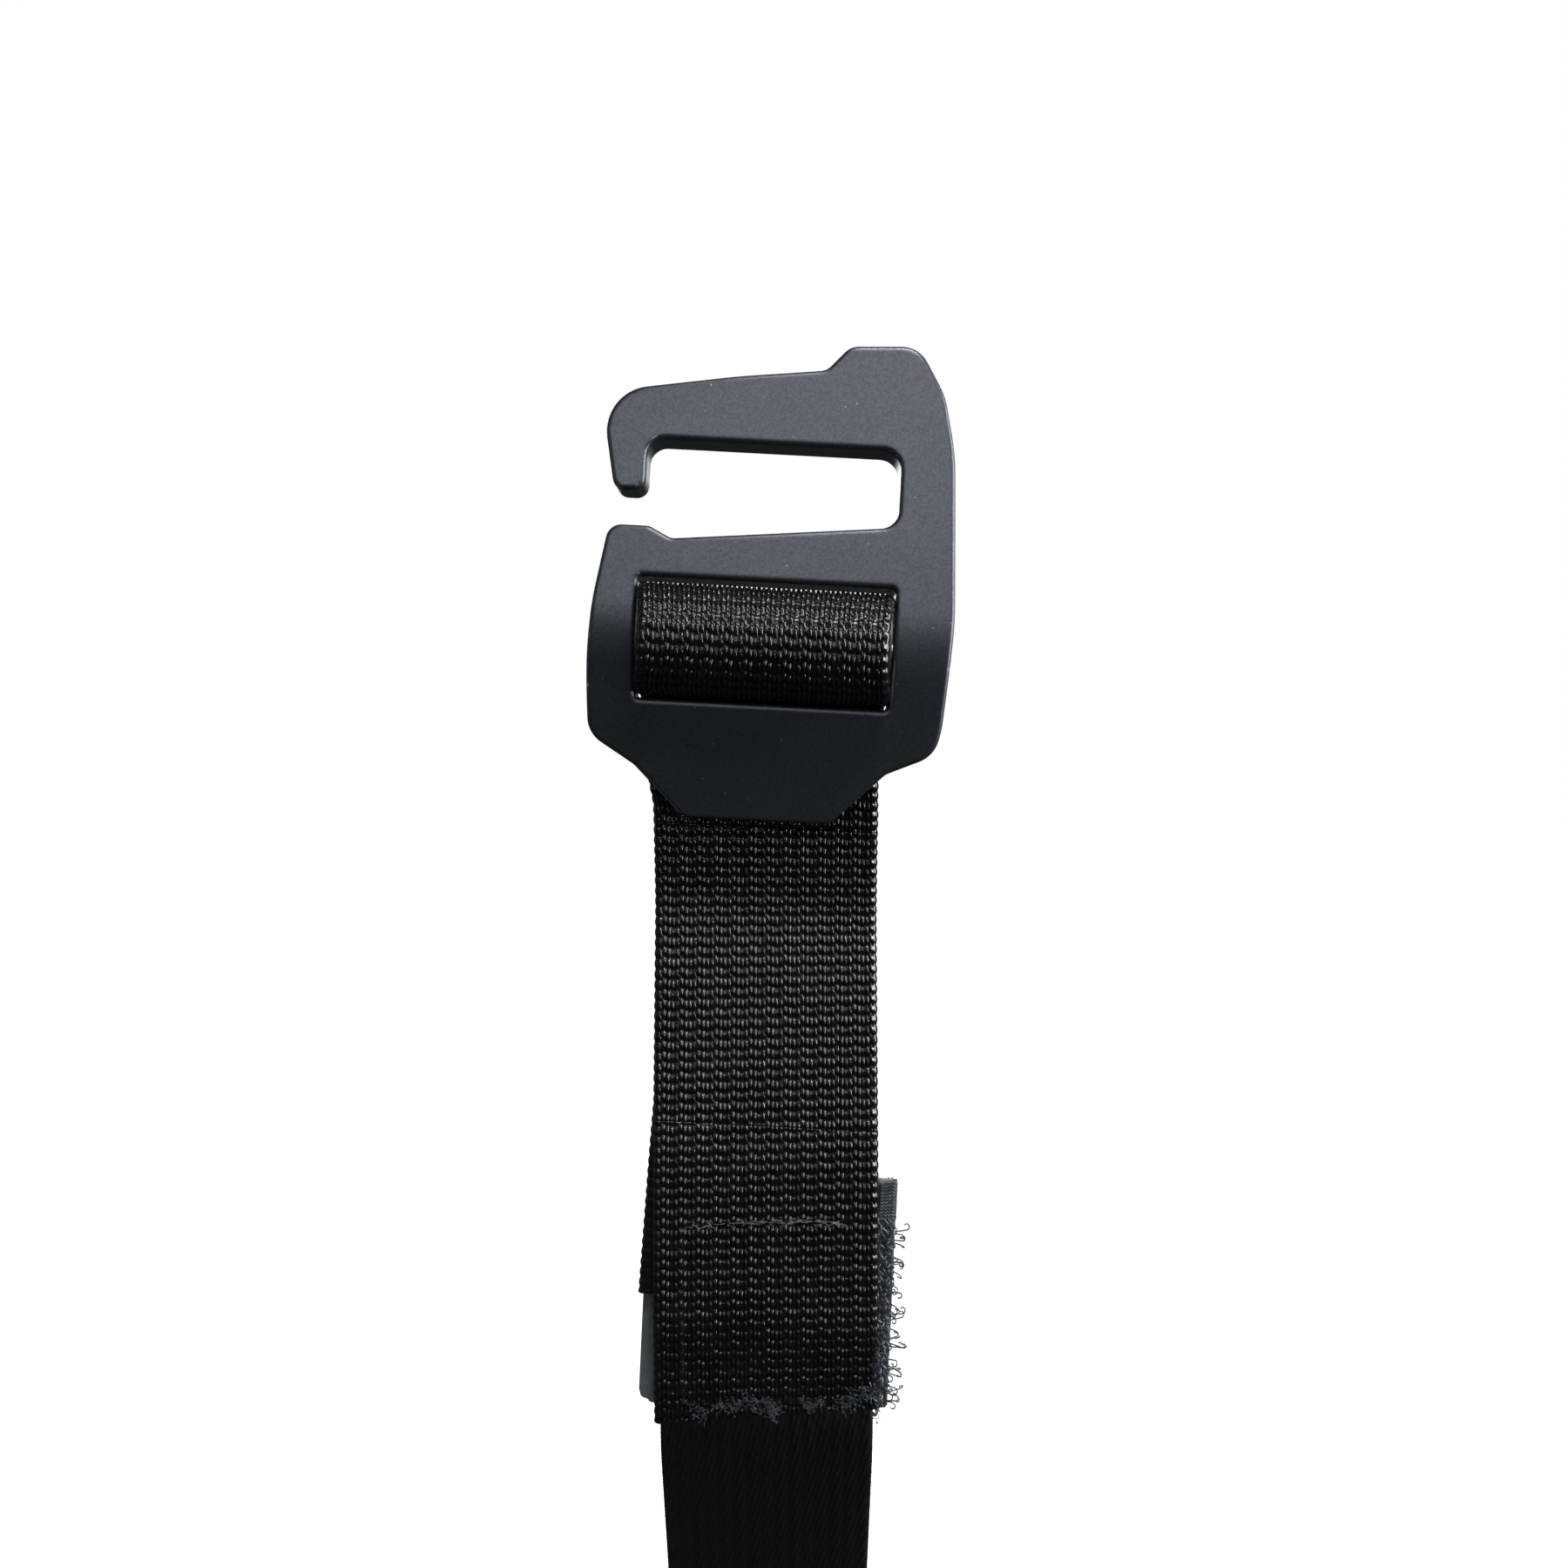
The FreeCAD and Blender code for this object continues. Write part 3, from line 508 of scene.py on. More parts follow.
metal, steel, plastic = anodised_finish(), steel_finish(), roller_finish()
webbing_cloth = cloth_finish("coarse_webbing", (0.0018, 0.0018, 0.002), (0.005, 0.0051, 0.0055),
                             (0.16, 0.25), 0.4, 0.0, 420.0, 40.0, 0.6, 0.000012)
band_cloth = cloth_finish("fine_band", (0.0015, 0.0015, 0.0017), (0.004, 0.004, 0.0043),
                          (0.38, 0.55), 0.35, 0.0, 300.0, 30.0, 0.3, 0.000015)
tape_cloth = cloth_finish("hook_tape_ground", (0.055, 0.06, 0.062), (0.11, 0.117, 0.12),
                          (0.4, 0.6), 0.5, 0.1, 200.0, 200.0, 0.0, 0.00002)
pile_cloth = cloth_finish("loop_tape_ground", (0.004, 0.004, 0.0045), (0.011, 0.011, 0.0125),
                          (0.55, 0.75), 0.4, 0.3, 160.0, 160.0, 0.0, 0.00003)
darken_margin(tape_cloth)
grey_thread = thread_finish("grey_thread", (0.015, 0.016, 0.018), (0.13, 0.134, 0.142))
black_thread = thread_finish("black_thread", (0.003, 0.003, 0.003), (0.01, 0.01, 0.011))
hook_filament = thread_finish("hook_filament", (0.012, 0.0135, 0.02), (0.15, 0.16, 0.2), 0.28)
pile_filament = thread_finish("pile_filament", (0.004, 0.005, 0.007), (0.055, 0.063, 0.08), 0.5)
for node, finish in (("g_hook", metal), ("axle_pin", steel), ("roller", plastic)):
    frame["nodes"][node].data.materials.clear()
    frame["nodes"][node].data.materials.append(finish)
print("finishes:", len(bpy.data.materials))

# %% [markdown]
# ## The coarse webbing
# This webbing is woven in ribs that run across it. Each rib is crossed by yarns in groups of
# four, and every other rib starts half a group later. Where a group starts, a thin binder
# yarn shows in the groove of one rib in two. The relief is worked out per yarn, so light
# from above finds the top of every yarn as it does on the real strap.

# %% The weave's relief
YARN, RIB = 0.48, 1.13          # width of a yarn and height of a rib
weave_random = np.random.RandomState(7)
yarn_lift = weave_random.normal(0, 1, (512, 128))
LIFTS = np.array([0.17, -0.03, -0.1, -0.04])    # how far each yarn of a group runs ahead, in ribs
GROOVE, RISE, BINDER = -0.34, 0.4, 0.45         # depth, height of a yarn, share a binder shows
YARN_COLUMNS = (0.0, 0.1, 0.28, 0.5, 0.72, 0.9)
yarn_places = (np.arange(-27, 27)[:, None] + np.array(YARN_COLUMNS)).ravel() * YARN


def rib_tilt(along):
    """Slope of the ribs: square to the roller at the fold, rising to the right lower down."""
    return math.tan(math.radians(4.7)) * np.clip((along - 20.0) / 35.0, 0, 1)


def webbing_relief(across, along, face):
    """Height of the webbing's surface, from its grooves to yarn tops at about 0.06."""
    tilted = along + across * rib_tilt(along)
    yarn = np.floor(across / YARN + 1000 + 1e-6).astype(int)
    share = across / YARN + 1000 - yarn
    kind = yarn % 4
    rows = tilted / RIB + LIFTS[kind]
    rib = np.floor(rows).astype(int)
    inside = rows - rib
    odd = rib % 2 == 1
    own = yarn_lift[rib % 512, yarn % 128]
    crown = np.sqrt(np.clip(1 - np.abs(2 * share - 1) ** 2.3, 0.02, 1))
    rise = np.clip(1 - np.abs(2 * inside - 1) ** 2.1, 0, 1) ** 0.6
    level = GROOVE + RISE * crown * rise * (1 + 0.07 * own)
    gap = odd & (kind == 2)
    level = np.where(gap, np.minimum(level, GROOVE + 0.22 * rise), level)
    binder = ~odd & (kind == 0) & (share < BINDER)
    arch = np.sin(math.pi * np.clip(share / BINDER, 0, 1))
    level = np.where(binder, -0.12 + 0.1 * arch, level)
    scallop = 0.13 * np.abs(np.sin(math.pi * tilted / RIB)) - 0.12
    level = np.where(face == -1, 0.3 * level - 0.07, level)
    return np.where(face == 0, scallop, level)


print("yarns", YARN, "mm wide in ribs", RIB, "mm tall")

# %% [markdown]
# ## Its course round the roller
# The front ply leaves under the roller, bends down behind the tongue and hangs to a slanted
# cut. The rear ply leaves over the back of the roller and stops short. Both start at the
# roller's top here, so that the ribs of the fold run on into the ply below.

# %% The two plies
ROLLER, SLACK, PLY, PITCH = 4.35, 0.1, 0.65, 1.6    # PLY is half a ply, PITCH from ply to ply
ROLL = ROLLER + SLACK + PLY
TONGUE_BACK = 2.3               # from the tongue's middle to the front of the cloth behind it
LEAVE = math.radians(89.0)
FRONT_LEAVE = (-ROLL * math.cos(LEAVE), -ROLL * math.sin(LEAVE))
DROP = 18.25 + 0.6              # height at which both plies are clear of the tongue
HALF_WIDE, STOCK = 12.45, 12.5  # half of the cloth's width, without and with its slack


def ply_below(lap):
    """The free stretch of a ply below the tongue, lap behind the front one."""
    return [(behind_plate(-DROP, TONGUE_BACK + PLY + lap), -DROP, 12.0),
            (10.75 + lap, -28.0, 18.0), (8.25 + lap, -56.4, 60.0)]


def roll_corners(first, last, steps):
    """Corners round the roller between two angles, in degrees."""
    share = math.radians(last - first) / steps
    reach = ROLL / math.cos(share / 2)
    angles = [math.radians(first) + share * (i + 0.5) for i in range(steps)]
    return [(reach * math.cos(a), reach * math.sin(a), ROLL) for a in angles]


def on_roll(degrees):
    """A point of the cloth's middle on the roller."""
    return (ROLL * math.cos(math.radians(degrees)), ROLL * math.sin(math.radians(degrees)), 0.0)


TOUCH = 2.675                   # how far below the axle the rear ply meets the tongue's line
slope = 1 / math.tan(LEAVE)
knee_y = (behind_plate(FRONT_LEAVE[1] + FRONT_LEAVE[0] * slope, TONGUE_BACK + PLY)
          / (1 - slope * math.tan(BEND)))
knee = (knee_y, FRONT_LEAVE[1] - (knee_y - FRONT_LEAVE[0]) * slope, 1.65)
front_course = Course([on_roll(90)] + roll_corners(90, 269, 3) + [knee] + ply_below(0.0)
                      + [(8.25, -74.0, 14.0), (9.9, -87.6, 0.0)], leans=1.0)
rear_course = Course([on_roll(90)] + roll_corners(90, 11.7, 1)
                     + [(behind_plate(-TOUCH, TONGUE_BACK + PLY + PITCH), -TOUCH, 12.0)]
                     + ply_below(PITCH) + [(8.25 + PITCH, -71.6, 0.0)], leans=1.0)
print("front ply", round(front_course.length, 1), "mm, rear ply", round(rear_course.length, 1), "mm")


# %% Five stretches of one webbing
FOLD_END, UPPER_END, FRONT_END, REAR_CUT = -19.0, -52.0, -84.3, -30.0


def cut_aslant(across, along, share):
    """The front ply's lower end is cut aslant, lower on the left."""
    low = np.clip((share - 0.6) / 0.4, 0, 1)
    return along - across / STOCK * 1.6 * low, 0.0


def drift_left(across, along, share):
    """The rear ply's end drifts to the left."""
    low = np.clip((share - 0.43) / 0.57, 0, 1)
    return along, -1.8 * low


def fitted_to_window(course):
    """Fills the window's width, follows its lean, and eases back to its true width below."""
    def drape(across, along, share):
        y, z, _, _ = course.at(along)
        inside = np.clip((z + 17.0) / 8.0, 0, 1)
        fuller = 0.046 * inside * np.clip((y + 4.8) / 2.5, 0, 1)
        return along, across * fuller + z * LEAN * inside
    return drape


def make_webbing():
    """The webbing in stretches that meet edge to edge, so that no piece grows too heavy."""
    under, middle, end = (front_course.height(z) for z in (FOLD_END, UPPER_END, FRONT_END))
    behind = rear_course.height(REAR_CUT)
    counts, rib_rows = (yarn_places, 6, 26), 6
    stretches = [
        ("webbing_fold", front_course, 0.0, under, fitted_to_window(front_course)),
        ("webbing_front_upper", front_course, under, middle, None),
        ("webbing_front_lower", front_course, middle, end, cut_aslant),
        ("webbing_rear_upper", rear_course, 0.0, behind, fitted_to_window(rear_course)),
        ("webbing_rear_lower", rear_course, behind, rear_course.length, drift_left),
    ]
    for name, course, start, stop, drape in stretches:
        rows = int((stop - start) / RIB * rib_rows)
        side = 1 if course is rear_course else -1
        piece = woven_strap(name, course, start, stop, (HALF_WIDE, PLY), counts, rows,
                            webbing_relief, webbing_cloth, drape, side)
        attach(piece, "strap")
        if name == "webbing_fold":
            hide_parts("adjuster_webbing")


make_webbing()

# %% [markdown]
# ## The fine band
# The band is a thinner, tighter cloth with slanted lines, as on a twill. It falls away behind
# the tapes, hangs straight and ends in a sewn loop. It bends at three places, so each piece
# spans one flexing line. The first three pieces stay fixed in the frame, and only the last,
# with the loop, rides on a body.

# %% The band's twill and course
def band_relief(across, along, face):
    """Slanted ridges, each broken into short floats."""
    line = across / 0.625 + along / 2.8
    ridge = 0.5 + 0.5 * np.cos(2 * math.pi * line)
    floats = 0.5 + 0.5 * np.cos(2 * math.pi * (along / 1.25 + np.floor(line) * 0.5))
    column = 0.45 + 0.55 * np.cos(math.pi * across / 1.65) ** 2
    level = -0.15 + 0.19 * ridge * (0.25 + 0.75 * floats) * column
    return np.where(face == 0, -0.05 * np.abs(np.sin(math.pi * along / 0.6)), level)


BAND_FRONT, BAND_REAR = 15.3, 26.0          # Y of the band behind the tapes and where it hangs
BAND_TOP, FALL_START = -57.0, -91.0
BAND_PLY = 0.6                              # half of the band's thickness
FALL = math.radians(23.0)
EYE_TOP, LOW, LAP, EYE_HALF = -293.2, -319.1, 1.35, 3.8
eye_middle = BAND_REAR + LAP / 2
shoulder = EYE_TOP - 2.4 * EYE_HALF
band_course = Course([
    (BAND_FRONT, BAND_TOP, 0.0), (BAND_FRONT, FALL_START, 20.0),
    (BAND_REAR, FALL_START - (BAND_REAR - BAND_FRONT) / math.tan(FALL), 30.0),
    (BAND_REAR, EYE_TOP, 8.0), (eye_middle - EYE_HALF, shoulder, 8.0),
    (eye_middle - EYE_HALF, LOW, EYE_HALF - 0.05), (eye_middle + EYE_HALF, LOW, EYE_HALF - 0.05),
    (eye_middle + EYE_HALF, shoulder, 8.0), (BAND_REAR + LAP, EYE_TOP, 8.0),
    (BAND_REAR + LAP, EYE_TOP + 18.0, 0.0)])
print("band", round(band_course.length, 1), "mm along its middle")


# %% Four pieces of one band
HANGING = 230.0                 # a distance along the band that is above its end loop


def make_band():
    """Pieces that cross the three flexing lines, and the end with its loop."""
    cuts = [band_course.height(z, 0.0, HANGING) for z in (-130.0, -200.0, -260.0)]
    cuts = [0.0] + cuts + [band_course.length]
    for number, (start, stop) in enumerate(zip(cuts, cuts[1:]), 1):
        rows = int((stop - start) / (0.26 if number < 4 else 0.4))
        piece = woven_strap(f"band_stretch_{number}", band_course, start, stop,
                            (HALF_WIDE, BAND_PLY), (148, 5, 148), rows, band_relief, band_cloth)
        if number < 4:
            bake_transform(piece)
        else:
            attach(piece, "band_4")
        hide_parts(f"band_segment_{number}")


make_band()

# %% [markdown]
# ## Strands
# Hooks, pile, thread and fluff are all thin strands. Each set is a curve with a round
# section, one spline per strand, which is then made a mesh so that it can ride on a body.

# %% Strands from lists of points
def strands(name, lines, radius, material, body, rounding=0):
    """One mesh of many thin strands; each line is its points in millimetres from the axle."""
    curve = bpy.data.curves.new(name, "CURVE")
    curve.dimensions = "3D"
    curve.bevel_depth, curve.bevel_resolution = radius * MM, rounding
    curve.use_fill_caps = True
    for line in lines:
        places = to_frame(*np.asarray(line, float).T)
        spline = curve.splines.new("POLY")
        spline.points.add(len(places) - 1)
        for point, place in zip(spline.points, places):
            point.co = (*place, 1.0)
    drawn = bpy.data.objects.new(name + "_line", curve)
    bpy.context.scene.collection.objects.link(drawn)
    mesh = bpy.data.meshes.new_from_object(drawn)
    bpy.data.objects.remove(drawn)
    mesh.name = name
    mesh.materials.clear()
    mesh.materials.append(material)
    mesh.shade_smooth()
    piece = bpy.data.objects.new(name, mesh)
    bpy.context.scene.collection.objects.link(piece)
    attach(piece, body)
    print(f"{name}: {len(lines)} strands, {len(mesh.polygons)} faces")
    return piece


luck = np.random.RandomState(31)

# %% [markdown]
# ## The hook tape
# The tape is a stiff woven ground with rows of small filament hooks on its back. It is wider
# than the webbing. Its right margin has curled right round, so that its hooks face forward
# there, and its left margin shows the smooth grey reverse.

# %% Ground of the hook tape
TAPE_MIDDLE, TAPE_TALL, TAPE_LEFT = -71.0, 26.2, -13.83
GROUND = 11.25                  # Y of the tape's back
CURL_START, CURL, CURL_MOST = 13.4, 0.77, math.radians(168)
TAPE_RIGHT = CURL_START + CURL * CURL_MOST + 1.5


def on_tape(across, lift=0.0):
    """X, Y and facing of the tape at a flat distance across it, lift millimetres off its back."""
    over = np.clip((np.asarray(across, float) - CURL_START) / CURL, 0, None)
    angle = np.minimum(over, CURL_MOST)
    beyond = np.clip(over - angle, 0, None) * CURL
    face_x, face_y = np.sin(angle), np.cos(angle)
    x = np.minimum(across, CURL_START) + (CURL + lift) * face_x + beyond * face_y
    y = GROUND - CURL + (CURL + lift) * face_y - beyond * face_x
    return x, y, face_x, face_y


def tape_skew(x, z):
    """The tape sits a little askew: its lower part stands out further to the left."""
    return x + (z - TAPE_MIDDLE) * 0.045


def make_tape_ground():
    """The woven ground: ribbed, curled at its right, its ends wavy and two corners eased."""
    bm, layer, flat = flat_grid(150, 120)
    across = TAPE_LEFT + (flat[:, 0] + 0.5) * (TAPE_RIGHT - TAPE_LEFT)
    z = TAPE_MIDDLE + flat[:, 1] * TAPE_TALL
    z = z + 0.25 * np.sin(across * 0.9) * np.abs(2 * flat[:, 1]) ** 12
    corner = np.clip((2.0 - (across - TAPE_LEFT)) / 2.0, 0, 1)
    z = z + 1.5 * corner ** 2 * (0.5 - flat[:, 1])
    z = z - 0.9 * np.clip((across - 9.0) / 5.0, 0, 1) * (flat[:, 1] + 0.5)
    ribs = 0.05 * np.sin(across * 2 * math.pi / 0.8 + 2 * np.abs((z / 0.9) % 2 - 1))
    x, y, _, _ = on_tape(across, ribs)
    lay_cloth(bm, layer, to_frame(tape_skew(x, z), y, z), across, z)
    thicken(bm, -0.0005)
    piece = finish_mesh(bm, "hook_tape", tape_cloth)
    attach(piece, "strap")
    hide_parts("hook_patch")


make_tape_ground()


# %% Hooks of the hook tape
def filament_hook(foot, out, lean, tall, round_off):
    """A filament that stands up from its foot and curls over towards lean."""
    turns = np.linspace(0, 1.25 * math.pi, 8)
    shaft = [foot, foot + out * (tall - round_off) * 0.6]
    top = foot + out * (tall - round_off)
    return np.array(shaft + [top + lean * round_off * (1 - math.cos(t)) + out * round_off * math.sin(t)
                             for t in turns])


HOOK_ROW, HOOK_COLUMN, MARGIN_COLUMN = 0.82, 1.5, 0.46     # spacing of the hooks
BARE = 8.6                      # the margin has no hooks above this height over the middle
KNIT_LIFT = 0.08


def on_bend(degrees):
    """Distance across the tape where its margin has curled by an angle."""
    return CURL_START + CURL * math.radians(degrees)


def make_hooks():
    """Rows of hooks over the tape's back, taller and looser on the curled margin."""
    lines = []
    columns = np.concatenate([np.arange(-12.6, 12.5, HOOK_COLUMN),
                              np.arange(CURL_START, TAPE_RIGHT, MARGIN_COLUMN)])
    for row, z in enumerate(np.arange(TAPE_MIDDLE - 12.4, TAPE_MIDDLE + 12.3, HOOK_ROW)):
        for column, across in enumerate(columns):
            curled = across > CURL_START
            if curled and z > TAPE_MIDDLE + BARE:
                continue
            stands_out = curled and across < on_bend(125)
            if stands_out and math.sin(z * 2.1) + luck.normal(0, 0.5) < 0.45:
                continue
            place = across + luck.normal(0, 0.12) + (0.3 if row % 2 else 0.0)
            x, y, face_x, face_y = (float(v) for v in on_tape(place))
            height = z + luck.normal(0, 0.14)
            out = np.array([face_x, face_y, luck.normal(0, 0.12)])
            swing = luck.normal(0, 1.0) if curled else 0.0
            lean = np.array([-face_y * swing, face_x * swing, (-1) ** (row + column)])
            tallest = 1.9 if stands_out else 1.4
            tall = luck.uniform(0.9, tallest) if curled else luck.uniform(1.05, 1.25)
            foot = np.array([float(tape_skew(x, height)), y, height])
            lines.append(filament_hook(foot, out / np.linalg.norm(out),
                                       lean / np.linalg.norm(lean), tall,
                                       luck.uniform(0.26, 0.4) if curled else 0.3))
    piece = strands("hook_tape_hooks", lines, 0.08, hook_filament, "strap", 1)


def make_knit():
    """Chevrons of the ground's knitting, bare of hooks at the top of the curled margin."""
    lines = []
    for z in np.arange(TAPE_MIDDLE + 8.4, TAPE_MIDDLE + 12.0, 0.36):
        for across in np.arange(on_bend(120), TAPE_RIGHT - 0.1, 0.44):
            line = []
            for step, drop in ((-0.17, 0.0), (0.0, -0.2), (0.17, 0.0)):
                x, y, _, _ = (float(v) for v in on_tape(across + step, KNIT_LIFT))
                line.append((float(tape_skew(x, z)), y, z + drop))
            lines.append(line)
    piece = strands("hook_tape_knit", lines, 0.055, grey_thread, "strap", 1)


make_hooks()
make_knit()

# %% [markdown]
# ## The loop tape and its fluff
# The band carries a patch of brushed loops. Pulled fibres from it have gathered along the
# lower end of the webbing, where they show as blue-grey fluff.

# %% Loop tape
PILE_PITCH, PILE_FOOT = 0.62, 13.85


def make_loop_tape():
    """A thin ground on the band's face, with a soft uneven top."""
    bm, layer, flat = flat_grid(120, 124)
    x, z = flat[:, 0] * 24.6, TAPE_MIDDLE + flat[:, 1] * 26.0
    nap = 0.16 * np.sin(x * 5.1 + 2 * np.sin(z * 1.7)) * np.sin(z * 4.3 + np.sin(x * 2.3))
    edge = np.clip(np.minimum(0.5 - abs(flat[:, 0]), 0.5 - abs(flat[:, 1])) * 14, 0, 1)
    y = 14.1 - (0.3 + nap) * edge
    lay_cloth(bm, layer, to_frame(x, y, z), x, z)
    thicken(bm, 0.0006)
    piece = finish_mesh(bm, "loop_tape", pile_cloth)
    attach(piece, "band_1")
    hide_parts("loop_patch")


def pile_loop(foot, tall, wide, angle):
    """One small arch of pile."""
    turns = np.linspace(0, math.pi, 6)
    way = np.array([math.cos(angle), 0.0, math.sin(angle)])
    up = np.array([0, tall, 0])
    return np.array([foot + way * wide * (0.5 - 0.5 * math.cos(turn)) * 2 - up * math.sin(turn)
                     for turn in turns])


def make_pile():
    """Arches of pile all over the loop tape."""
    lines = []
    for x in np.arange(-12.0, 12.1, PILE_PITCH):
        for z in np.arange(TAPE_MIDDLE - 12.8, TAPE_MIDDLE + 12.9, PILE_PITCH):
            foot = np.array([x + luck.normal(0, 0.2), PILE_FOOT, z + luck.normal(0, 0.2)])
            lines.append(pile_loop(foot, luck.uniform(0.3, 0.75), luck.uniform(0.3, 0.6),
                                   luck.uniform(0, 2 * math.pi)))
    piece = strands("loop_tape_pile", lines, 0.035, pile_filament, "band_1")


make_loop_tape()
make_pile()


# %% Fluff along the webbing's lower end
# Each tuft's place across, its spread, its height over the cut and its number of fibres.
TUFTS = [(-7.0, 0.7, 1.9, 18), (-5.2, 0.5, 2.2, 11), (-3.4, 0.6, 2.2, 26), (-1.4, 0.7, 2.4, 30),
         (0.3, 0.5, 1.9, 36), (0.9, 0.3, 1.1, 22), (4.6, 0.8, 1.8, 24), (6.2, 0.6, 1.7, 12),
         (8.6, 0.6, 1.4, 24), (9.9, 0.5, 1.8, 20), (11.2, 0.4, 2.6, 20)]


def wandering(start, steps, reach, pull):
    """A loose fibre: a random walk that keeps some of its direction."""
    way = luck.normal(0, 1, 3)
    line = [np.array(start, float)]
    for _ in range(steps):
        way = 0.45 * way + luck.normal(0, 1, 3)
        way[1] = way[1] * 0.6 + pull
        line.append(line[-1] + way / np.linalg.norm(way) * reach)
    return np.array(line)


def end_height(x):
    """Height of the webbing's slanted lower end."""
    return FRONT_END + x / STOCK * 0.95


def make_fluff():
    """Tufts on the webbing's lower end, a fringe up its right edge, and some below the tape."""
    lines = []
    for centre, spread, up, count in TUFTS:
        for _ in range(count):
            x = luck.normal(centre, spread)
            z = end_height(x) + luck.normal(up, 0.35)
            y = 7.4 + luck.uniform(-0.3, 0.5)
            lines.append(wandering((x, y, z), 12, luck.uniform(0.07, 0.17), -0.06))
    for _ in range(260):
        z = luck.uniform(-84.5, -61.0)
        x = 12.1 + luck.exponential(0.3)
        lines.append(wandering((x, 7.6 + luck.uniform(0, 2.0), z), 9, luck.uniform(0.08, 0.16), -0.15))
    for _ in range(40):
        x = luck.uniform(-12.3, 12.3)
        lines.append(wandering((x, 13.4, -84.4 + luck.normal(0, 0.3)), 8, 0.2, -0.2))
    piece = strands("fluff", lines, 0.024, pile_filament, "strap")


make_fluff()

# %% [markdown]
# ## Thread
# A row of stitches is a line of short lengths of thread that dip into the cloth at both
# ends. Three sides of the box on the webbing are sunk and dark, and its top row is worn pale,
# with loose fibres along it. Bar tacks are tight zigzags that hold the end loop.

# %% Stitches
def front_face(z):
    """Y of the front ply's front at a height, in millimetres."""
    along = front_course.height(z)
    y, _, normal_y, _ = front_course.at(along)
    return float(y - normal_y * PLY)


def stitched_row(start, stop, count, surface, side=-1, lift=0.24):
    """Stitches from one (x, z) to another; surface(z) gives Y, and side is -1 on a front face."""
    lines = []
    for number in range(count):
        ends = [(number + share) / count for share in (0.06, 0.94)]
        line = []
        for share in np.linspace(*ends, 7):
            x, z = (a + (b - a) * share for a, b in zip(start, stop))
            rise = math.sin(math.pi * (share - ends[0]) / (ends[1] - ends[0])) ** 0.5
            line.append((x, surface(z) + side * (lift * rise - 0.12), z))
        lines.append(np.array(line))
    return lines


def rectangle_rows(half_wide, top, bottom, count, surface, side=-1):
    """Four rows of stitches round a rectangle whose right side sits a little higher."""
    corners = [(-half_wide, top), (half_wide, top + 0.5),
               (half_wide, bottom + 0.3), (-half_wide, bottom)]
    lines = []
    for start, stop in zip(corners, corners[1:] + corners[:1]):
        lines += stitched_row(start, stop, count, surface, side)
    return lines


BOX_LEFT, BOX_RIGHT, BOX_TOP, BOX_RISE, BOX_BOW = -9.1, 8.3, -62.9, 0.6, 0.35
BOX_FACE = 7.3                  # Y of the cloth's front under the worn row


def worn_row(share, bow):
    """X and Z at a share of the box's top row, which rises to the right, lifted by its bow."""
    return BOX_LEFT + (BOX_RIGHT - BOX_LEFT) * share, BOX_TOP + BOX_RISE * share + bow


def make_box_stitch():
    """The box of stitches: three sunk dark sides, and a worn pale top row."""
    corners = [(BOX_RIGHT, BOX_TOP + BOX_RISE), (BOX_RIGHT, -82.7), (BOX_LEFT, -83.0),
               (BOX_LEFT, BOX_TOP)]
    lines = []
    for start, stop in zip(corners, corners[1:]):
        lines += stitched_row(start, stop, 9, front_face, lift=-0.13)
    box = strands("box_stitches", lines, 0.1, black_thread, "strap", 1)
    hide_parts("box_stitch")
    lines = []
    cuts = np.linspace(0, 1, 12)
    for start, stop in zip(cuts, cuts[1:]):
        bow = BOX_BOW * math.sin(math.pi * (start + stop) / 2)
        ends = [worn_row(share, bow) for share in (start, stop)]
        lines += stitched_row(*ends, 1, front_face, lift=0.16)
    for _ in range(70):
        share = luck.uniform(0, 1)
        x, z = worn_row(share, BOX_BOW * math.sin(math.pi * share))
        z = z + luck.normal(0, 0.1)
        line = wandering((x, BOX_FACE, z), 8, luck.uniform(0.12, 0.3), 0.0)
        line[:, 2] = z + (line[:, 2] - z) * 0.35
        line[:, 1] = BOX_FACE + (line[:, 1] - BOX_FACE) * 0.3
        lines.append(line)
    worn = strands("box_stitch_top_row", lines, 0.034, grey_thread, "strap")


def make_tape_seam():
    """Seam of the loop tape, on its face and on the back of the band."""
    lines = rectangle_rows(10.6, -59.8, -82.2, 12, lambda z: 13.45)
    lines += rectangle_rows(10.6, -59.8, -82.2, 12, lambda z: BAND_FRONT + BAND_PLY, 1)
    seam = strands("loop_tape_seam", lines, 0.12, black_thread, "band_1", 1)
    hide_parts("loop_patch_stitch")


def make_bar_tacks():
    """Zigzag bars across both faces of the end loop's overlap."""
    lines = []
    for number in range(3):
        middle = EYE_TOP + 1.8 + number * 4.8 + 0.9
        for y in (BAND_REAR - 0.72, BAND_REAR + LAP + 0.72):
            x = np.arange(-9.4, 9.45, 0.21)
            z = middle + np.where(np.arange(len(x)) % 2, 0.85, -0.85)
            lines.append(np.stack([x, np.full_like(x, y), z], axis=1))
    tacks = strands("bar_tacks", lines, 0.13, black_thread, "band_4", 1)
    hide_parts("end_bar_tacks")


make_box_stitch()
make_tape_seam()
make_bar_tacks()

# %% [markdown]
# ## Floor, light and camera
# The strap hangs in the air over a pale floor. Soft lights stand in front, above, to the
# right, faintly to the left and behind. The camera stands a hand's width away, so the band,
# which hangs further back, looks narrower than the fold above it.

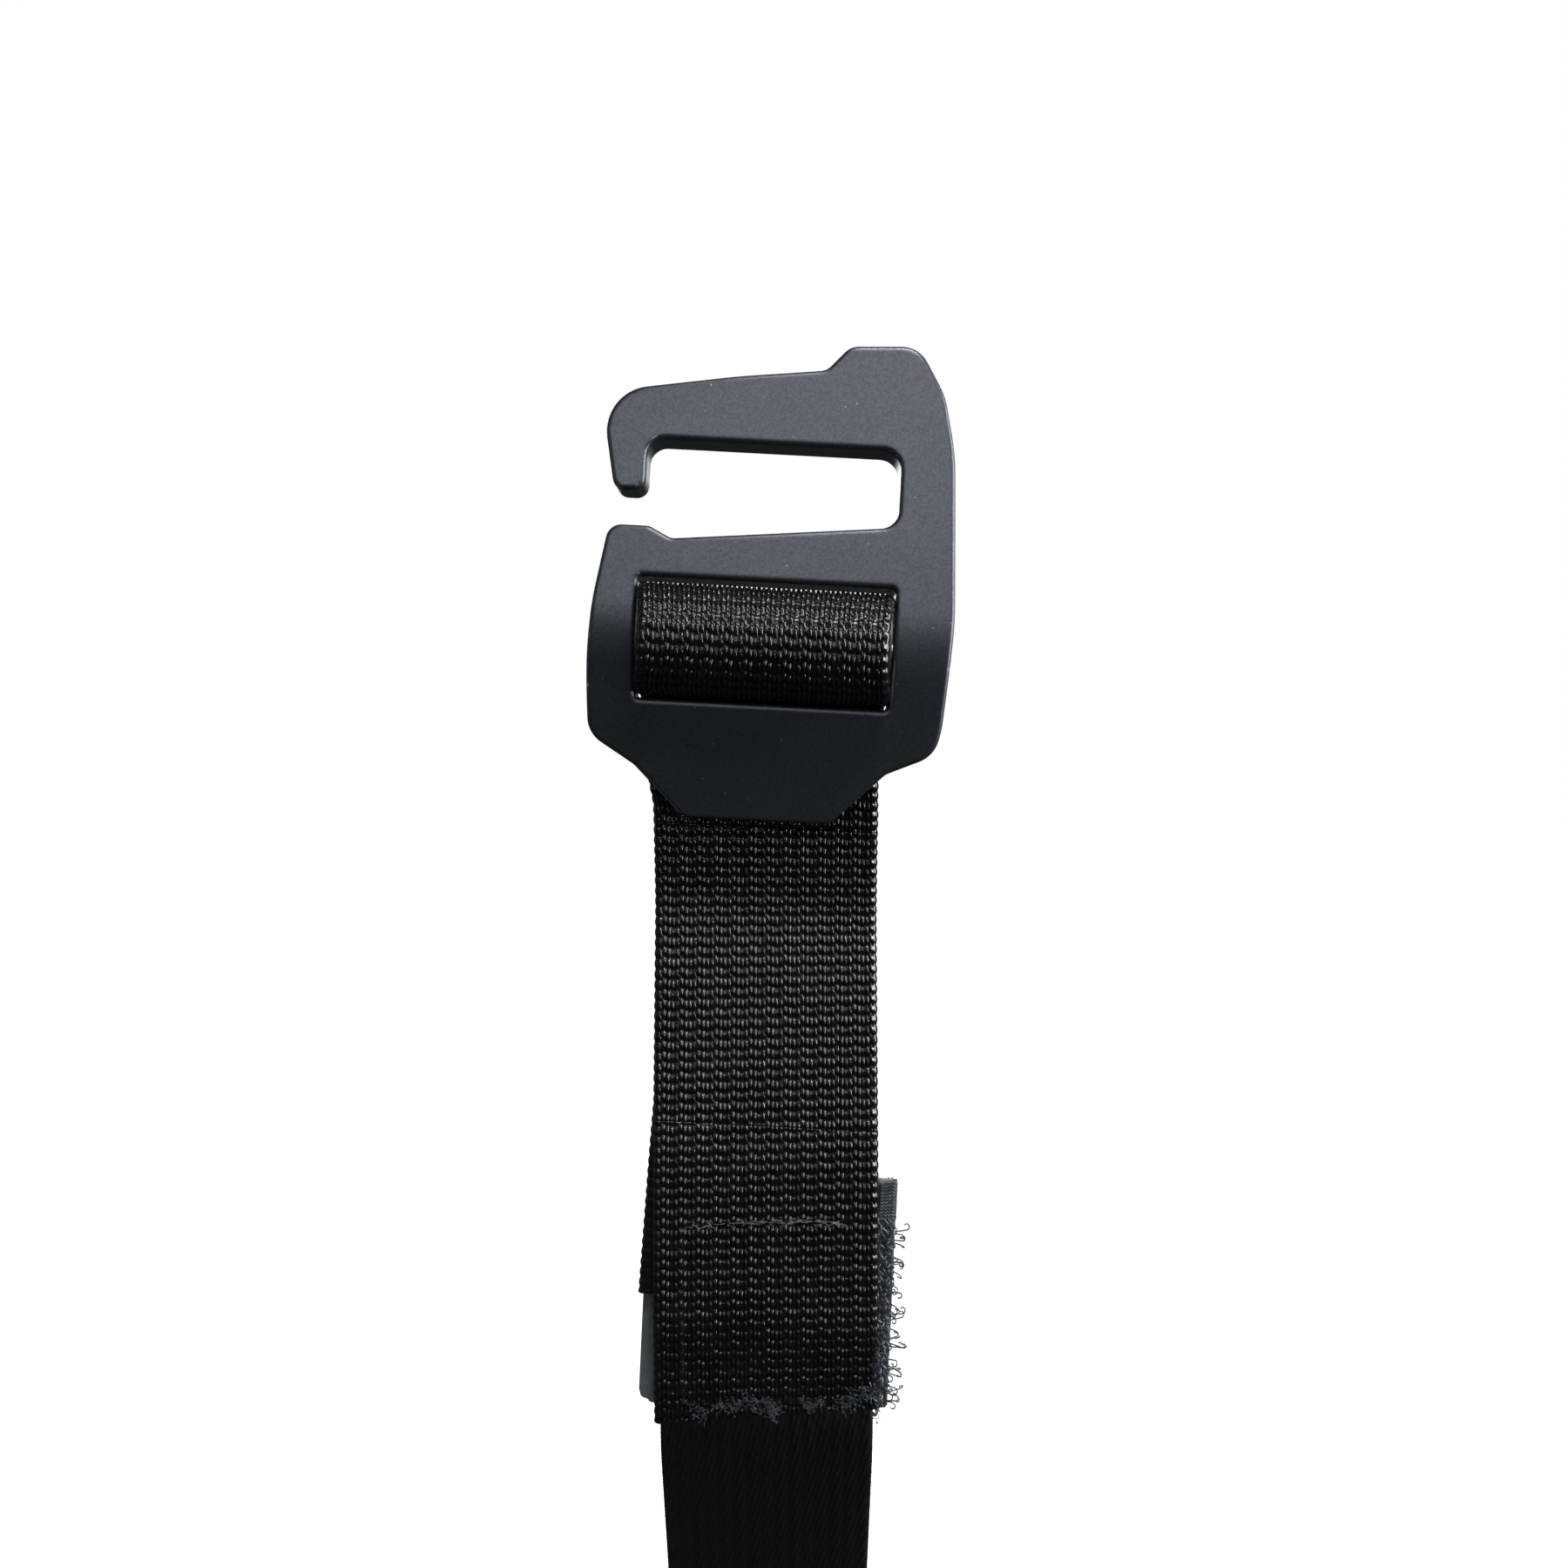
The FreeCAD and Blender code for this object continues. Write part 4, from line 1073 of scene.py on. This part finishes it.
# %% Stage
def soft_light(name, place, aim, size, power):
    """An area light at a place, turned to a point."""
    data = bpy.data.lights.new(name, "AREA")
    data.shape, data.size, data.size_y = "RECTANGLE", size[0], size[1]
    data.energy = power
    lamp = bpy.data.objects.new(name, data)
    bpy.context.scene.collection.objects.link(lamp)
    lamp.location = place
    way = Vector(aim) - Vector(place)
    lamp.rotation_euler = way.to_track_quat("-Z", "Y").to_euler()


def make_stage():
    """Pale floor, white surroundings for the eye and dim ones for the reflections."""
    bm = bmesh.new()
    bmesh.ops.create_grid(bm, x_segments=2, y_segments=2, size=6.0)
    bmesh.ops.translate(bm, verts=bm.verts, vec=(0, 0, -0.42))
    pale, _, shader = new_finish("pale_floor", 0.8)
    shader.inputs["Base Color"].default_value = (0.85, 0.85, 0.85, 1)
    shader.inputs["Emission Color"].default_value = (1, 1, 1, 1)
    shader.inputs["Emission Strength"].default_value = 1.0
    floor = finish_mesh(bm, "floor", pale)
    floor.visible_glossy = floor.visible_diffuse = False
    world = bpy.data.worlds.new("studio")
    bpy.context.scene.world = world
    world.use_nodes = True
    tree = world.node_tree
    tree.nodes.clear()
    seen = add_node(tree, "ShaderNodeBackground", Color=(1, 1, 1, 1), Strength=1.0)
    felt = add_node(tree, "ShaderNodeBackground", Color=(0.9, 0.95, 1, 1), Strength=0.06)
    path = tree.nodes.new("ShaderNodeLightPath")
    mix = tree.nodes.new("ShaderNodeMixShader")
    out = tree.nodes.new("ShaderNodeOutputWorld")
    feed(tree, mix, path.outputs["Is Camera Ray"], felt.outputs[0], seen.outputs[0])
    tree.links.new(mix.outputs[0], out.inputs["Surface"])


make_stage()
soft_light("front", (0.0, -0.6, 0.17), (0, 0, 0.0), (0.7, 0.22), 1.35)
soft_light("key_above", (0.12, -0.28, 0.4), (0, 0, -0.04), (0.22, 0.1), 3.0)
soft_light("right", (0.45, -0.1, 0.06), (0, 0, -0.02), (0.1, 0.45), 4.2)
soft_light("left", (-0.45, -0.05, 0.05), (0, 0, -0.02), (0.1, 0.4), 0.12)
soft_light("back", (-0.12, 0.6, 0.2), (0, 0, -0.1), (0.5, 0.3), 2.2)
camera = bpy.data.objects.new("camera", bpy.data.cameras.new("camera"))
camera.data.lens, camera.data.sensor_width, camera.data.clip_start = 25.0, 36.0, 0.005
camera.location = to_frame(np.array(2.03), np.array(-111.7), np.array(-14.3))
camera.rotation_euler = (math.pi / 2, 0, 0)
bpy.context.scene.collection.objects.link(camera)
bpy.context.scene.camera = camera
bpy.context.scene.view_settings.view_transform = "Standard"
